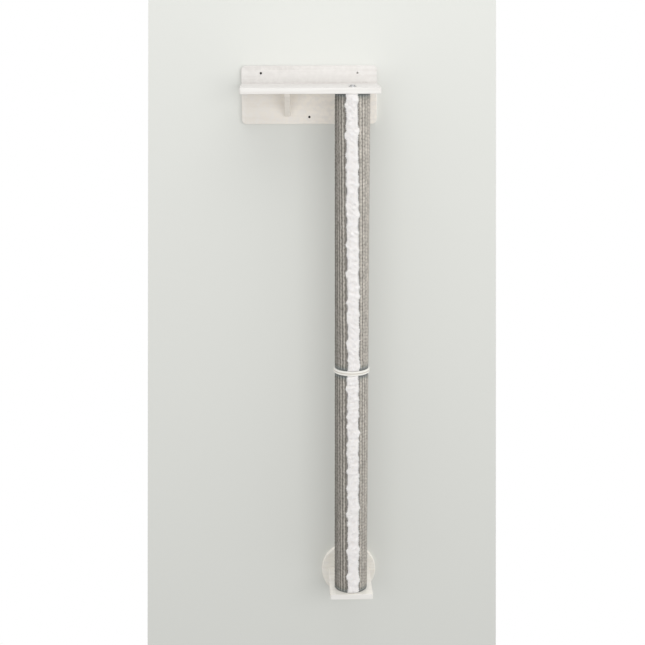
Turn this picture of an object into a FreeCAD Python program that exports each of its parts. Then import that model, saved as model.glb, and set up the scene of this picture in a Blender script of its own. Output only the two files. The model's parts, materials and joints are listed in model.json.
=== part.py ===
import FreeCAD, Part
import math
import os

# Cat climbing wall: a resting shelf and a round foot plate screwed to a wall, with a
# two-part scratching post between them. Lengths are in millimetres.
# The origin lies on the wall, midway between the back board's two upper wall holes.
# +X runs to the right along the wall, +Y into the wall and +Z up, so the cat climbs at -Y.

# Back board
board_width = 430.0
board_height = 183.0
board_thick = 18.0
board_corner_r = 14.0
wall_hole_r = 3.25
wall_hole_pitch = 306.0
wall_hole_drop = 23.0
low_hole_rise = 22.0

# Shelf
shelf_drop = 55.0
shelf_depth = 204.0
shelf_thick = 18.0
shelf_corner_r = 5.0

# Bracket under the shelf
bracket_thick = 18.0
bracket_height = 85.0
bracket_depth = 120.0
bracket_nose = 12.0
bracket_tip = 10.0
bracket_offset = 70.0

# Post: axis, lengths and tube
post_offset = 130.0
post_standoff = 166.0
upper_length = 877.0
lower_length = 757.0
tube_r = 50.0
tube_wall = 5.0

# Woven cover, its rolled hems and its dark end bindings
cover_thick = 4.8
glue_line = 0.2
rib_pitch = 11.5
rib_depth = 1.5
hem_width = 5.0
hem_rise = 0.7
binding_height = 9.0
binding_inset = 0.7
slot_width = 37.0

# Plush strip in the cover's slot
plush_rise = 2.6
plush_shoulder = 3.6
plush_gap = 0.3

# Ring between the two posts
ring_r = 58.0
ring_thick = 15.0
ring_chamfer = 2.6

# Foot board and wall disc
foot_width = 142.0
foot_reach = 65.0
foot_thick = 18.0
foot_corner_r = 5.0
disc_r = 93.0
disc_thick = 18.0
disc_chamfer = 2.0
disc_hole_pitch = 120.0

# Broken edges of the painted boards
edge_chamfer = 1.2

# Wooden plugs glued into the tube ends
plug_thick = 30.0
plug_fit = 0.1

# Long hexagon nuts set in the plugs
nut_flats = 13.0
nut_sides = 6
nut_length = 26.0
fit_gap = 0.05

# Bolts and stud
thread_r = 4.0
bolt_hole_gap = 0.25
bolt_grip = 20.0
bolt_head_r = 8.0
bolt_head_thick = 3.6
bolt_head_chamfer = 0.8
socket_r = 2.9
socket_depth = 2.2
washer_r = 12.0
washer_thick = 1.6

# Panel screws that join board to board
screw_r = 3.4
screw_length = 50.0
screw_head_r = 5.0
screw_head_thick = 2.0
shelf_screw_pitch = 150.0
bracket_screw_drop = 20.0
bracket_screw_pitch = 38.0
foot_screw_pitch = 70.0

# Wooden dowel between bracket and shelf
dowel_r = 4.0
dowel_length = 30.0
dowel_share = 1.0 / 3.0
dowel_reach = 75.0

# Overrun for cuts that pass through a face
overrun = 1.0

# Places worked out from the sizes
board_top = wall_hole_drop
board_bottom = board_top - board_height
low_hole_z = board_bottom + low_hole_rise
shelf_top = board_top - shelf_drop
shelf_under = shelf_top - shelf_thick
shelf_mid = shelf_top - shelf_thick / 2
shelf_front = board_thick + shelf_depth
upper_top = shelf_under
upper_bottom = upper_top - upper_length
lower_top = upper_bottom - ring_thick
ring_mid = lower_top + ring_thick / 2
lower_bottom = lower_top - lower_length
foot_top = lower_bottom
foot_under = foot_top - foot_thick
foot_mid = foot_top - foot_thick / 2
foot_front = post_standoff + foot_reach
cover_in_r = tube_r + glue_line
post_r = cover_in_r + cover_thick
tube_in_r = tube_r - tube_wall
slot_half_angle = math.asin(slot_width / 2 / post_r)
front_angle = -math.pi / 2
full_turn = 2 * math.pi

RIGHT = FreeCAD.Vector(1, 0, 0)
OUT = FreeCAD.Vector(0, -1, 0)
UP = FreeCAD.Vector(0, 0, 1)
DOWN = FreeCAD.Vector(0, 0, -1)


def at(x, y, z):
    return FreeCAD.Vector(x, y, z)


def on_post(radius, angle, z):
    # A point at a radius and angle about the post's axis.
    return at(post_offset + radius * math.cos(angle), -post_standoff + radius * math.sin(angle), z)


def post_axis(z):
    return at(post_offset, -post_standoff, z)


def face_of(edges):
    return Part.Face(Part.Wire(edges))


def polygon_face(points):
    return Part.Face(Part.makePolygon(points + points[:1]))


def edges_where(shape, test):
    # Edges whose middle point passes the test.
    chosen = []
    for edge in shape.Edges:
        middle = edge.valueAt((edge.FirstParameter + edge.LastParameter) / 2)
        if test(middle):
            chosen.append(edge)
    return chosen


def rounded_box(low, high, corner_r, is_corner, is_rim):
    # A box from low to high with its corners rounded and then its rims broken.
    size = high - low
    box = Part.makeBox(size.x, size.y, size.z, low)
    box = box.makeFillet(corner_r, edges_where(box, is_corner))
    return box.makeChamfer(edge_chamfer, edges_where(box, is_rim))


def hex_prism(radius, length, base, direction):
    # A hexagonal prism along a direction, a corner pointing to the right.
    forward = direction.cross(RIGHT)
    points = []
    for step in range(nut_sides):
        angle = full_turn * step / nut_sides
        points.append(base + RIGHT * (radius * math.cos(angle)) + forward * (radius * math.sin(angle)))
    return polygon_face(points).extrude(direction * length)


def panel_screw(head):
    # A countersunk screw driven from the wall side, its axis square to the wall.
    cone = Part.makeCone(screw_head_r, screw_r, screw_head_thick, head, OUT)
    shank = Part.makeCylinder(screw_r, screw_length - screw_head_thick, head + OUT * screw_head_thick, OUT)
    return cone.fuse(shank)


def panel_screw_hole(head):
    # The hole for one panel screw, open at the wall side.
    cone = Part.makeCone(screw_head_r + fit_gap, screw_r + fit_gap, screw_head_thick, head, OUT)
    start = head + OUT * screw_head_thick
    shank = Part.makeCylinder(screw_r + fit_gap, screw_length - screw_head_thick + fit_gap, start, OUT)
    return cone.fuse(shank)


def bracket_dowel():
    # An upright dowel whose shorter share is sunk in the shelf above the bracket's top face.
    start = dowel_point + UP * (dowel_length * dowel_share)
    return Part.makeCylinder(dowel_r, dowel_length, start, DOWN)


def dowel_hole():
    # The hole for the dowel through both boards, a little longer and wider than it.
    start = dowel_point + UP * (dowel_length * dowel_share + fit_gap)
    return Part.makeCylinder(dowel_r + fit_gap, dowel_length + fit_gap + fit_gap, start, DOWN)


def machine_bolt(seat, direction, length):
    # A flat-headed bolt: seat is the point under its head, direction the way it is driven.
    head = Part.makeCylinder(bolt_head_r, bolt_head_thick, seat, -direction)
    top = seat - direction * bolt_head_thick
    rim = edges_where(head, lambda p: abs((p - top).dot(direction)) < bolt_head_chamfer / 2)
    head = head.makeChamfer(bolt_head_chamfer, rim)
    shank = Part.makeCylinder(thread_r, length, seat, direction)
    socket_start = top - direction * overrun
    socket = hex_prism(socket_r, socket_depth + overrun, socket_start, direction)
    return head.fuse(shank).cut(socket)


def washer(seat, direction):
    disc = Part.makeCylinder(washer_r, washer_thick, seat, direction)
    return disc.cut(Part.makeCylinder(thread_r + bolt_hole_gap, washer_thick, seat, direction))


def row(middle, pitch, count):
    # Points in a line along X, centred on the middle.
    points = []
    for index in range(count):
        points.append(middle + RIGHT * (pitch * (index - (count - 1) / 2)))
    return points


# Fixing points, each used by the fastener and by the pieces that it joins
upper_wall_points = row(at(0, 0, 0), wall_hole_pitch, 2)
low_wall_point = at(0, 0, low_hole_z)
shelf_screw_points = row(at(0, 0, shelf_mid), shelf_screw_pitch, 3)
bracket_screw_points = []
for index in range(2):
    drop = bracket_screw_drop + bracket_screw_pitch * index
    bracket_screw_points.append(at(-bracket_offset, 0, shelf_under - drop))
dowel_point = at(-bracket_offset, -board_thick - dowel_reach, shelf_under)
disc_centre = at(post_offset, 0, foot_mid)
disc_wall_points = []
for side in (-1, 1):
    disc_wall_points.append(disc_centre + UP * (side * disc_hole_pitch / 2))
foot_screw_points = row(disc_centre, foot_screw_pitch, 2)


def back_board():
    low = at(-board_width / 2, -board_thick, board_bottom)
    high = at(board_width / 2, 0, board_top)
    board = rounded_box(
        low, high, board_corner_r,
        lambda p: abs(p.y + board_thick / 2) < edge_chamfer,
        lambda p: p.y < -board_thick + edge_chamfer,
    )
    for point in upper_wall_points + [low_wall_point]:
        through = board_thick + overrun + overrun
        board = board.cut(Part.makeCylinder(wall_hole_r, through, point - OUT * overrun, OUT))
    for point in shelf_screw_points + bracket_screw_points:
        board = board.cut(panel_screw_hole(point))
    return board


def shelf():
    low = at(-board_width / 2, -shelf_front, shelf_under)
    high = at(board_width / 2, -board_thick, shelf_top)
    board = rounded_box(
        low, high, shelf_corner_r,
        lambda p: p.y < -shelf_front + shelf_corner_r and abs(p.z - shelf_mid) < edge_chamfer,
        lambda p: p.y < -board_thick - edge_chamfer and abs(p.z - shelf_mid) > edge_chamfer,
    )
    for point in shelf_screw_points:
        board = board.cut(panel_screw_hole(point))
    board = board.cut(dowel_hole())
    return board.cut(Part.makeCylinder(thread_r + bolt_hole_gap, shelf_thick, post_axis(shelf_under), UP))


def shelf_bracket():
    left = -bracket_offset - bracket_thick / 2
    back = -board_thick
    outline = [
        at(left, back, shelf_under),
        at(left, back - bracket_depth, shelf_under),
        at(left, back - bracket_depth, shelf_under - bracket_nose),
        at(left, back - bracket_tip, shelf_under - bracket_height),
        at(left, back, shelf_under - bracket_height),
    ]
    bracket = polygon_face(outline).extrude(RIGHT * bracket_thick)
    rims = edges_where(bracket, lambda p: p.y < back - edge_chamfer and p.z < shelf_under - edge_chamfer)
    bracket = bracket.makeChamfer(edge_chamfer, rims)
    for point in bracket_screw_points:
        bracket = bracket.cut(panel_screw_hole(point))
    return bracket.cut(dowel_hole())


def panel_screws():
    # Three through the back board into the shelf, two into the bracket, and two through
    # the wall disc into the foot board.
    points = shelf_screw_points + bracket_screw_points + foot_screw_points
    return Part.makeCompound([panel_screw(point) for point in points])


def post_bolts():
    # One bolt down through the shelf, and one up through the foot board.
    top = post_axis(shelf_top + washer_thick)
    foot = post_axis(foot_under - washer_thick)
    return Part.makeCompound([
        machine_bolt(top, DOWN, washer_thick + shelf_thick + bolt_grip),
        machine_bolt(foot, UP, washer_thick + foot_thick + bolt_grip),
    ])


def bolt_washers():
    return Part.makeCompound([washer(post_axis(shelf_top), UP), washer(post_axis(foot_under), DOWN)])


def joint_stud():
    length = bolt_grip + ring_thick + bolt_grip
    return Part.makeCylinder(thread_r, length, post_axis(lower_top - bolt_grip), UP)


def joint_ring():
    ring = Part.makeCylinder(ring_r, ring_thick, post_axis(lower_top), UP)
    rims = edges_where(ring, lambda p: abs(p.z - ring_mid) > ring_thick / 2 - ring_chamfer / 2)
    ring = ring.makeChamfer(ring_chamfer, rims)
    return ring.cut(Part.makeCylinder(thread_r + bolt_hole_gap, ring_thick, post_axis(lower_top), UP))


def core(bottom, length):
    # The cardboard tube.
    tube = Part.makeCylinder(tube_r, length, post_axis(bottom), UP)
    return tube.cut(Part.makeCylinder(tube_in_r, length, post_axis(bottom), UP))


def nut_corner_r():
    return nut_flats / 2 / math.cos(full_turn / nut_sides / 2)


def end_plugs(bottom, length):
    # A wooden plug flush with each end of the tube, with a pocket for its nut.
    plugs = []
    for mouth_z, inward in ((bottom + length, DOWN), (bottom, UP)):
        body = Part.makeCylinder(tube_in_r - plug_fit, plug_thick, post_axis(mouth_z), inward)
        plugs.append(body.cut(hex_prism(nut_corner_r() + fit_gap, plug_thick, post_axis(mouth_z), inward)))
    return Part.makeCompound(plugs)


def insert_nuts(bottom, length):
    # One long nut in each plug, flush with the plug's outer face.
    nuts = []
    for mouth_z, inward in ((bottom + length, DOWN), (bottom, UP)):
        body = hex_prism(nut_corner_r(), nut_length, post_axis(mouth_z), inward)
        bore = Part.makeCylinder(thread_r + fit_gap, nut_length, post_axis(mouth_z), inward)
        nuts.append(body.cut(bore))
    return Part.makeCompound(nuts)


def ring_sector(inner_r, outer_edges, start, end, bottom, height):
    # An open sleeve: its outer edges are given, and its inner wall is one arc.
    inner = arc_on_post(end, start, inner_r, inner_r, inner_r, bottom)
    first = outer_edges[0].valueAt(outer_edges[0].FirstParameter)
    last = outer_edges[-1].valueAt(outer_edges[-1].LastParameter)
    sides = [
        Part.LineSegment(on_post(inner_r, start, bottom), first).toShape(),
        Part.LineSegment(last, on_post(inner_r, end, bottom)).toShape(),
    ]
    edges = [sides[0]] + outer_edges + [sides[1], inner]
    return face_of(edges).extrude(UP * height)


def arc_on_post(start, end, start_r, crest_r, end_r, z):
    crest = on_post(crest_r, (start + end) / 2, z)
    return Part.Arc(on_post(start_r, start, z), crest, on_post(end_r, end, z)).toShape()


def cover(bottom, length):
    # The woven cover: upright ribs all round, with a fuller rolled hem at each side of the slot.
    z = bottom + binding_height
    start = front_angle + slot_half_angle
    end = front_angle - slot_half_angle + full_turn
    hem_angle = hem_width / post_r
    valley_r = post_r - rib_depth
    ribs = max(1, round((end - start - hem_angle - hem_angle) * post_r / rib_pitch))
    rib_angle = (end - start - hem_angle - hem_angle) / ribs
    edges = [arc_on_post(start, start + hem_angle, valley_r, post_r + hem_rise, valley_r, z)]
    for index in range(ribs):
        left = start + hem_angle + rib_angle * index
        edges.append(arc_on_post(left, left + rib_angle, valley_r, post_r, valley_r, z))
    edges.append(arc_on_post(end - hem_angle, end, valley_r, post_r + hem_rise, valley_r, z))
    return ring_sector(cover_in_r, edges, start, end, z, length - binding_height - binding_height)


def end_bindings(bottom, length):
    # The dark tape round each cut end of the cover.
    start = front_angle + slot_half_angle
    end = front_angle - slot_half_angle + full_turn
    outer_r = post_r - binding_inset
    tapes = []
    for z in (bottom, bottom + length - binding_height):
        outer = arc_on_post(start, end, outer_r, outer_r, outer_r, z)
        tapes.append(ring_sector(cover_in_r, [outer], start, end, z, binding_height))
    return Part.makeCompound(tapes)


def plush_strip(bottom, length):
    # A crowned strip glued to the tube in the cover's slot, the length of the post.
    half = slot_half_angle - plush_gap / post_r
    start = front_angle - half
    end = front_angle + half
    shoulder_r = cover_in_r + plush_shoulder
    crown = arc_on_post(start, end, shoulder_r, post_r + plush_rise, shoulder_r, bottom + plush_gap)
    return ring_sector(cover_in_r, [crown], start, end, bottom + plush_gap, length - plush_gap - plush_gap)


def foot_board():
    low = at(post_offset - foot_width / 2, -foot_front, foot_under)
    high = at(post_offset + foot_width / 2, -disc_thick, foot_top)
    board = rounded_box(
        low, high, foot_corner_r,
        lambda p: p.y < -foot_front + foot_corner_r and abs(p.z - foot_mid) < edge_chamfer,
        lambda p: p.y < -disc_thick - edge_chamfer and abs(p.z - foot_mid) > edge_chamfer,
    )
    for point in foot_screw_points:
        board = board.cut(panel_screw_hole(point))
    return board.cut(Part.makeCylinder(thread_r + bolt_hole_gap, foot_thick, post_axis(foot_under), UP))


def wall_disc():
    disc = Part.makeCylinder(disc_r, disc_thick, disc_centre, OUT)
    front = edges_where(disc, lambda p: p.y < -disc_thick + disc_chamfer / 2)
    disc = disc.makeChamfer(disc_chamfer, front)
    for point in disc_wall_points:
        through = disc_thick + overrun + overrun
        disc = disc.cut(Part.makeCylinder(wall_hole_r, through, point - OUT * overrun, OUT))
    for point in foot_screw_points:
        disc = disc.cut(panel_screw_hole(point))
    return disc


def post_pieces(name, bottom, length):
    # Everything that makes up one post, from the tube outwards.
    return {
        name + "_core": core(bottom, length),
        name + "_end_plugs": end_plugs(bottom, length),
        name + "_insert_nuts": insert_nuts(bottom, length),
        name + "_cover": cover(bottom, length),
        name + "_end_bindings": end_bindings(bottom, length),
        name + "_plush_strip": plush_strip(bottom, length),
    }


def main():
    pieces = {
        "back_board": back_board(),
        "shelf": shelf(),
        "shelf_bracket": shelf_bracket(),
        "bracket_dowel": bracket_dowel(),
        "panel_screws": panel_screws(),
        "post_bolts": post_bolts(),
        "bolt_washers": bolt_washers(),
        "joint_ring": joint_ring(),
        "joint_stud": joint_stud(),
        "foot_board": foot_board(),
        "wall_disc": wall_disc(),
    }
    pieces.update(post_pieces("upper", upper_bottom, upper_length))
    pieces.update(post_pieces("lower", lower_bottom, lower_length))
    os.makedirs("parts", exist_ok=True)
    for name, shape in pieces.items():
        shape.exportStep(os.path.join("parts", name + ".step"))


main()
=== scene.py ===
import json
import math

import bmesh
import bpy
import numpy as np
from bpy.props import FloatProperty, FloatVectorProperty, IntProperty, PointerProperty
from mathutils import Matrix, Vector


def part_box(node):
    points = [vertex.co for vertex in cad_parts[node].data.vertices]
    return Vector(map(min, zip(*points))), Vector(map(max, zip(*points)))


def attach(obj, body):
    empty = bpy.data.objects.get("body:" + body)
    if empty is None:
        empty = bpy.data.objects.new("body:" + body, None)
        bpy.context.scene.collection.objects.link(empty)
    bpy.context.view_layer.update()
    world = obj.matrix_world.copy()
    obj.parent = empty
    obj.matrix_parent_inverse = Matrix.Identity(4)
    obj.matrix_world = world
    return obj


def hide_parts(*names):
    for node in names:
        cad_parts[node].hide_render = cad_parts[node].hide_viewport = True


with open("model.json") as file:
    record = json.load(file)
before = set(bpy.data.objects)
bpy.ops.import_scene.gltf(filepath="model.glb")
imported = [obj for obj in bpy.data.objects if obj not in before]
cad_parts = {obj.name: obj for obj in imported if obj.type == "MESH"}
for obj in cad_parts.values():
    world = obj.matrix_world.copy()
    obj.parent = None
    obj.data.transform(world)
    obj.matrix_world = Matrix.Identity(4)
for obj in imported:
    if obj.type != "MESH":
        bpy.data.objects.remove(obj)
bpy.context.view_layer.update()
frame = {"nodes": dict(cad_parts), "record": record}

bl_info = {
    "name": "Cat climbing wall",
    "version": (1, 0, 0),
    "blender": (4, 5, 0),
    "location": "3D View > Sidebar > Climbing wall",
    "description": "Dresses the cat climbing wall: painted boards, woven covers, plush strips and fittings",
    "category": "Object",
}

mounts = {mount["name"]: mount for mount in frame["record"]["mounts"]}
MM = 0.001
LEFT_TO_RIGHT = Vector((1, 0, 0))
FROM_WALL = Vector((0, -1, 0))
UPWARDS = Vector((0, 0, 1))
POSTS = ("upper", "lower")
X, Y, Z = 0, 1, 2

# Places nearer to each other than this count as one place.
SAME_PLACE = 1e-5


# Sizes and colours that a user would change

class BoardSizes(bpy.types.PropertyGroup):
    corner_radius: FloatProperty(
        name="Back board corners", description="Rounding of the back board's four corners",
        default=0.014, unit="LENGTH")
    nose_radius: FloatProperty(
        name="Shelf corners", description="Rounding of the front corners of the shelf and the foot board",
        default=0.005, unit="LENGTH")
    rim_radius: FloatProperty(
        name="Broken edges", description="Rounding of the boards' long edges under the paint",
        default=0.0015, unit="LENGTH")
    disc_rim_radius: FloatProperty(
        name="Disc rim", description="Rounding of the wall disc's front edge", default=0.003, unit="LENGTH")
    ring_rim_radius: FloatProperty(
        name="Ring rims", description="Rounding of both edges of the ring between the posts",
        default=0.0032, unit="LENGTH")
    ring_groove: FloatProperty(
        name="Ring groove", description="Depth of the groove round the middle of the ring",
        default=0.0013, unit="LENGTH")
    wall_hole_radius: FloatProperty(
        name="Wall holes", description="Radius of the holes for the wall screws",
        default=mounts["upper_wall_holes"]["dims"]["hole_r_mm"] * MM, unit="LENGTH")
    wall_hole_pitch: FloatProperty(
        name="Upper wall holes apart", description="Distance between the two upper wall holes",
        default=mounts["upper_wall_holes"]["dims"]["spacing_x_mm"] * MM, unit="LENGTH")
    disc_hole_pitch: FloatProperty(
        name="Disc holes apart", description="Distance between the disc's two wall holes",
        default=mounts["disc_wall_holes"]["dims"]["spacing_y_mm"] * MM, unit="LENGTH")
    hole_flare: FloatProperty(
        name="Hole rims", description="How far a drilled hole opens at the painted face",
        default=0.0006, unit="LENGTH")
    bolt_hole_radius: FloatProperty(
        name="Bolt holes", description="Radius of the holes for the post bolts",
        default=0.00425, unit="LENGTH")
    dowel_hole_radius: FloatProperty(
        name="Dowel hole", description="Radius of the hole for the bracket's dowel",
        default=0.00405, unit="LENGTH")
    dowel_reach: FloatProperty(
        name="Dowel from the board", description="Distance from the back board's front to the dowel",
        default=0.075, unit="LENGTH")
    bracket_nose: FloatProperty(
        name="Bracket nose", description="Height of the bracket's front end", default=0.012, unit="LENGTH")
    bracket_tip: FloatProperty(
        name="Bracket tip", description="Depth of the bracket's lower end", default=0.010, unit="LENGTH")


class ScrewSizes(bpy.types.PropertyGroup):
    radius: FloatProperty(
        name="Screw radius", description="Radius of a panel screw's shank", default=0.0034, unit="LENGTH")
    length: FloatProperty(
        name="Screw length", description="Length of a panel screw with its head",
        default=0.050, unit="LENGTH")
    head_radius: FloatProperty(
        name="Head radius", description="Radius of the countersunk head", default=0.005, unit="LENGTH")
    head_depth: FloatProperty(
        name="Head depth", description="Depth of the countersunk head", default=0.002, unit="LENGTH")
    recess: FloatProperty(
        name="Cross recess", description="Depth of the cross recess in the head",
        default=0.0016, unit="LENGTH")
    hole_gap: FloatProperty(
        name="Gap round a screw", description="Clearance round a screw in its hole",
        default=0.00005, unit="LENGTH")
    shelf_pitch: FloatProperty(
        name="Shelf screws apart", description="Distance between the three shelf screws",
        default=0.150, unit="LENGTH")
    bracket_drop: FloatProperty(
        name="Bracket screw drop",
        description="Distance from the shelf's underside to the bracket's upper screw",
        default=0.020, unit="LENGTH")
    bracket_pitch: FloatProperty(
        name="Bracket screws apart", description="Distance between the bracket's two screws",
        default=0.038, unit="LENGTH")
    foot_pitch: FloatProperty(
        name="Foot screws apart", description="Distance between the foot board's two screws",
        default=0.070, unit="LENGTH")


class CoverSizes(bpy.types.PropertyGroup):
    glue_line: FloatProperty(
        name="Glue line", description="Gap between the tube and the cover", default=0.0002, unit="LENGTH")
    thickness: FloatProperty(
        name="Cover thickness", description="Thickness of the woven cover over its ribs",
        default=0.0048, unit="LENGTH")
    rib_pitch: FloatProperty(
        name="Rib pitch", description="Width of one rib of the weave", default=0.0115, unit="LENGTH")
    rib_depth: FloatProperty(
        name="Rib depth", description="Depth of the valleys between the ribs", default=0.0024, unit="LENGTH")
    rib_lean: FloatProperty(
        name="Rib lean", description="Place of a rib's crest across its width, 0.5 for an even rib",
        default=0.64, min=0.5, max=0.8)
    stitch: FloatProperty(
        name="Stitch length", description="Length of one loop of yarn along a rib",
        default=0.0110, unit="LENGTH")
    zigzag: FloatProperty(
        name="Zigzag", description="How far the valleys swing from side to side",
        default=0.0006, unit="LENGTH")
    hem_width: FloatProperty(
        name="Hem width", description="Width of the rolled hem beside the plush strip",
        default=0.005, unit="LENGTH")
    hem_rise: FloatProperty(
        name="Hem rise", description="How far the hem stands over the ribs", default=0.0007, unit="LENGTH")
    slot_width: FloatProperty(
        name="Slot width", description="Width of the slot in the cover for the plush strip",
        default=0.037, unit="LENGTH")
    upper_turns: FloatVectorProperty(
        name="Upper slot turns",
        description="Turn of the upper slot and strip round the post, at its top and bottom",
        subtype="EULER", size=2, default=(math.radians(-5.3), math.radians(4.3)))
    lower_turns: FloatVectorProperty(
        name="Lower slot turns",
        description="Turn of the lower slot and strip round the post, at its top and bottom",
        subtype="EULER", size=2, default=(math.radians(1.9), math.radians(6.3)))
    binding_thickness: FloatProperty(
        name="Binding thickness", description="Thickness of the overlocked ends",
        default=0.0041, unit="LENGTH")
    binding_thread: FloatProperty(
        name="Binding thread", description="Distance between the overlock threads",
        default=0.0026, unit="LENGTH")
    binding_cord: FloatProperty(
        name="Binding cord", description="Height of the dark cord along the outer edge of a cover's end",
        default=0.0034, unit="LENGTH")


class PlushSizes(bpy.types.PropertyGroup):
    gap: FloatProperty(
        name="Gap to the cover", description="Gap between the strip's base and the cover",
        default=0.0003, unit="LENGTH")
    shoulder: FloatProperty(
        name="Edge height", description="Thickness of the strip at its long edges",
        default=0.0036, unit="LENGTH")
    crown: FloatProperty(
        name="Crown", description="Thickness of the strip along its middle", default=0.0080, unit="LENGTH")
    overhang: FloatProperty(
        name="Overhang", description="How far the fleece swells out towards the cover's hems",
        default=0.0072, unit="LENGTH")
    notch: FloatProperty(
        name="Notches", description="How far the fleece draws back from the hems between two swellings",
        default=0.0026, unit="LENGTH")
    lump: FloatProperty(
        name="Lumps", description="Height of the lumps in the fleece", default=0.0021, unit="LENGTH")
    tuft_length: FloatProperty(
        name="Tuft length", description="Length of one tuft of the pile", default=0.0052, unit="LENGTH")
    tuft_radius: FloatProperty(
        name="Tuft radius", description="Radius of one tuft at its root", default=0.0006, unit="LENGTH")
    tuft_gap: FloatProperty(
        name="Tuft spacing", description="Smallest distance between two tufts",
        default=0.00125, unit="LENGTH")
    seed: IntProperty(name="Seed", description="Start value of the scatter of the tufts", default=7)


class FinishColours(bpy.types.PropertyGroup):
    paint: FloatVectorProperty(
        name="Board paint", description="Off-white paint of the boards", subtype="COLOR", size=3,
        min=0, max=1, default=(0.748, 0.729, 0.705))
    paint_streak: FloatVectorProperty(
        name="Board streaks", description="Paint over the darker grain", subtype="COLOR", size=3,
        min=0, max=1, default=(0.668, 0.640, 0.611))
    # Painted light: the board's front is painted lighter and warmer below the shelf, and lighter still
    # towards the post.
    paint_lit_below_shelf: FloatVectorProperty(
        name="Thin paint", description="Thinner, warmer coat below the shelf", subtype="COLOR",
        size=3, min=0, max=1, default=(0.865, 0.82, 0.748))
    paint_foot: FloatVectorProperty(
        name="Foot paint", description="Paint of the foot board and the wall disc", subtype="COLOR", size=3,
        min=0, max=1, default=(0.85, 0.825, 0.75))
    # Painted highlight: the front faces of the shelf and the foot board are painted lighter for the light
    # they catch.
    lip: FloatVectorProperty(
        name="Front edge paint",
        description="Thicker paint on the front edges of the shelf and the foot board",
        subtype="COLOR", size=3, min=0, max=1, default=(0.805, 0.79, 0.76))
    ring_paint: FloatVectorProperty(
        name="Ring paint", description="Paint of the ring between the posts", subtype="COLOR", size=3,
        min=0, max=1, default=(0.83, 0.815, 0.765))
    yarn: FloatVectorProperty(
        name="Yarn", description="Colour of the cover's yarn on the crests", subtype="COLOR", size=3,
        min=0, max=1, default=(0.648, 0.606, 0.545))
    # Painted shade: the dark yarn colour down in the valleys between the ribs.
    yarn_valley_shade: FloatVectorProperty(
        name="Yarn valleys", description="Colour of the yarn down between the ribs", subtype="COLOR", size=3,
        min=0, max=1, default=(0.11, 0.103, 0.09))
    binding: FloatVectorProperty(
        name="Binding thread", description="Grey thread over the cut ends of the cover", subtype="COLOR",
        size=3, min=0, max=1, default=(0.35, 0.357, 0.342))
    # The dark cord's own colour, which also serves as the painted shade between the overlock threads.
    binding_deep: FloatVectorProperty(
        name="Binding cord", description="Dark cord along the cut ends of the cover", subtype="COLOR",
        size=3, min=0, max=1, default=(0.115, 0.126, 0.120))
    plush: FloatVectorProperty(
        name="Plush", description="White pile of the strips", subtype="COLOR", size=3,
        min=0, max=1, default=(0.97, 0.947, 0.93))
    # Painted shade: the near-black colour inside the wall holes.
    hole: FloatVectorProperty(
        name="Hole", description="Raw board inside the wall holes", subtype="COLOR", size=3,
        min=0, max=1, default=(0.035, 0.028, 0.022))


class StageSettings(bpy.types.PropertyGroup):
    ambient: FloatProperty(
        name="Soft light", description="Level of the light from all round", default=0.46, min=0, max=2)
    side_left: FloatProperty(
        name="Side light, left", description="Soft light that comes from the left on top of it",
        default=0.44, min=0, max=2)
    side_right: FloatProperty(
        name="Side light, right", description="Soft light that comes from the right on top of it",
        default=0.74, min=0, max=2)
    key: FloatProperty(
        name="Key lamp", description="Power of the large lamp right of the camera",
        default=58.0, unit="POWER")
    fill: FloatProperty(
        name="Fill lamp", description="Power of the large lamp left of the camera",
        default=33.0, unit="POWER")
    above: FloatProperty(
        name="Light from above", description="Soft light that comes from above on top of it",
        default=0.30, min=0, max=2)
    top: FloatProperty(
        name="Top lamp", description="Power of the soft lamp above the shelf", default=24.0, unit="POWER")
    back: FloatProperty(
        name="Back lamp", description="Power of the weak lamp behind the wall", default=45.0, unit="POWER")
    wall: FloatVectorProperty(
        name="Wall, top", description="Pale colour of the wall panel's top", subtype="COLOR", size=3,
        min=0, max=1, default=(0.735, 0.743, 0.708))
    # Painted shade: the wall panel is painted darker towards its lower end.
    wall_low_shade: FloatVectorProperty(
        name="Wall, bottom", description="Pale colour of the wall panel's lower end", subtype="COLOR", size=3,
        min=0, max=1, default=(0.660, 0.667, 0.634))
    floor: FloatVectorProperty(
        name="Floor", description="Pale colour of the floor", subtype="COLOR", size=3,
        min=0, max=1, default=(0.63, 0.635, 0.61))


# Small steps that many pieces use

def choose(obj):
    # Only this object is selected, and it is the active one.
    bpy.ops.object.select_all(action="DESELECT")
    obj.select_set(True)
    bpy.context.view_layer.objects.active = obj


def settle(obj):
    # Puts the object's place, turn and scale into its mesh.
    choose(obj)
    bpy.ops.object.transform_apply(location=True, rotation=True, scale=True)


def start_editing(obj):
    choose(obj)
    bpy.ops.object.mode_set(mode="EDIT")


def stop_editing():
    bpy.ops.object.mode_set(mode="OBJECT")


def pick(obj, kind, test):
    # In edit mode, selects the points, edges or faces that pass the test.
    bpy.ops.mesh.select_mode(type=kind)
    bpy.ops.mesh.select_all(action="DESELECT")
    mesh = bmesh.from_edit_mesh(obj.data)
    found = 0
    for part in {"VERT": mesh.verts, "EDGE": mesh.edges, "FACE": mesh.faces}[kind]:
        if test(part):
            part.select_set(True)
            found += 1
    mesh.select_flush_mode()
    bmesh.update_edit_mesh(obj.data)
    if not found:
        raise RuntimeError(f"{obj.name}: no {kind.lower()} passed the test")


def middle(edge):
    return (edge.verts[0].co + edge.verts[1].co) / 2


def runs_along(edge, axis):
    return abs((edge.verts[1].co - edge.verts[0].co).normalized().dot(axis)) > 0.999


def cut_planes(places, axis):
    # In edit mode, cuts the whole mesh square to an axis at each place.
    for place in places:
        bpy.ops.mesh.select_all(action="SELECT")
        bpy.ops.mesh.bisect(plane_co=axis * place, plane_no=axis)


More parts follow.
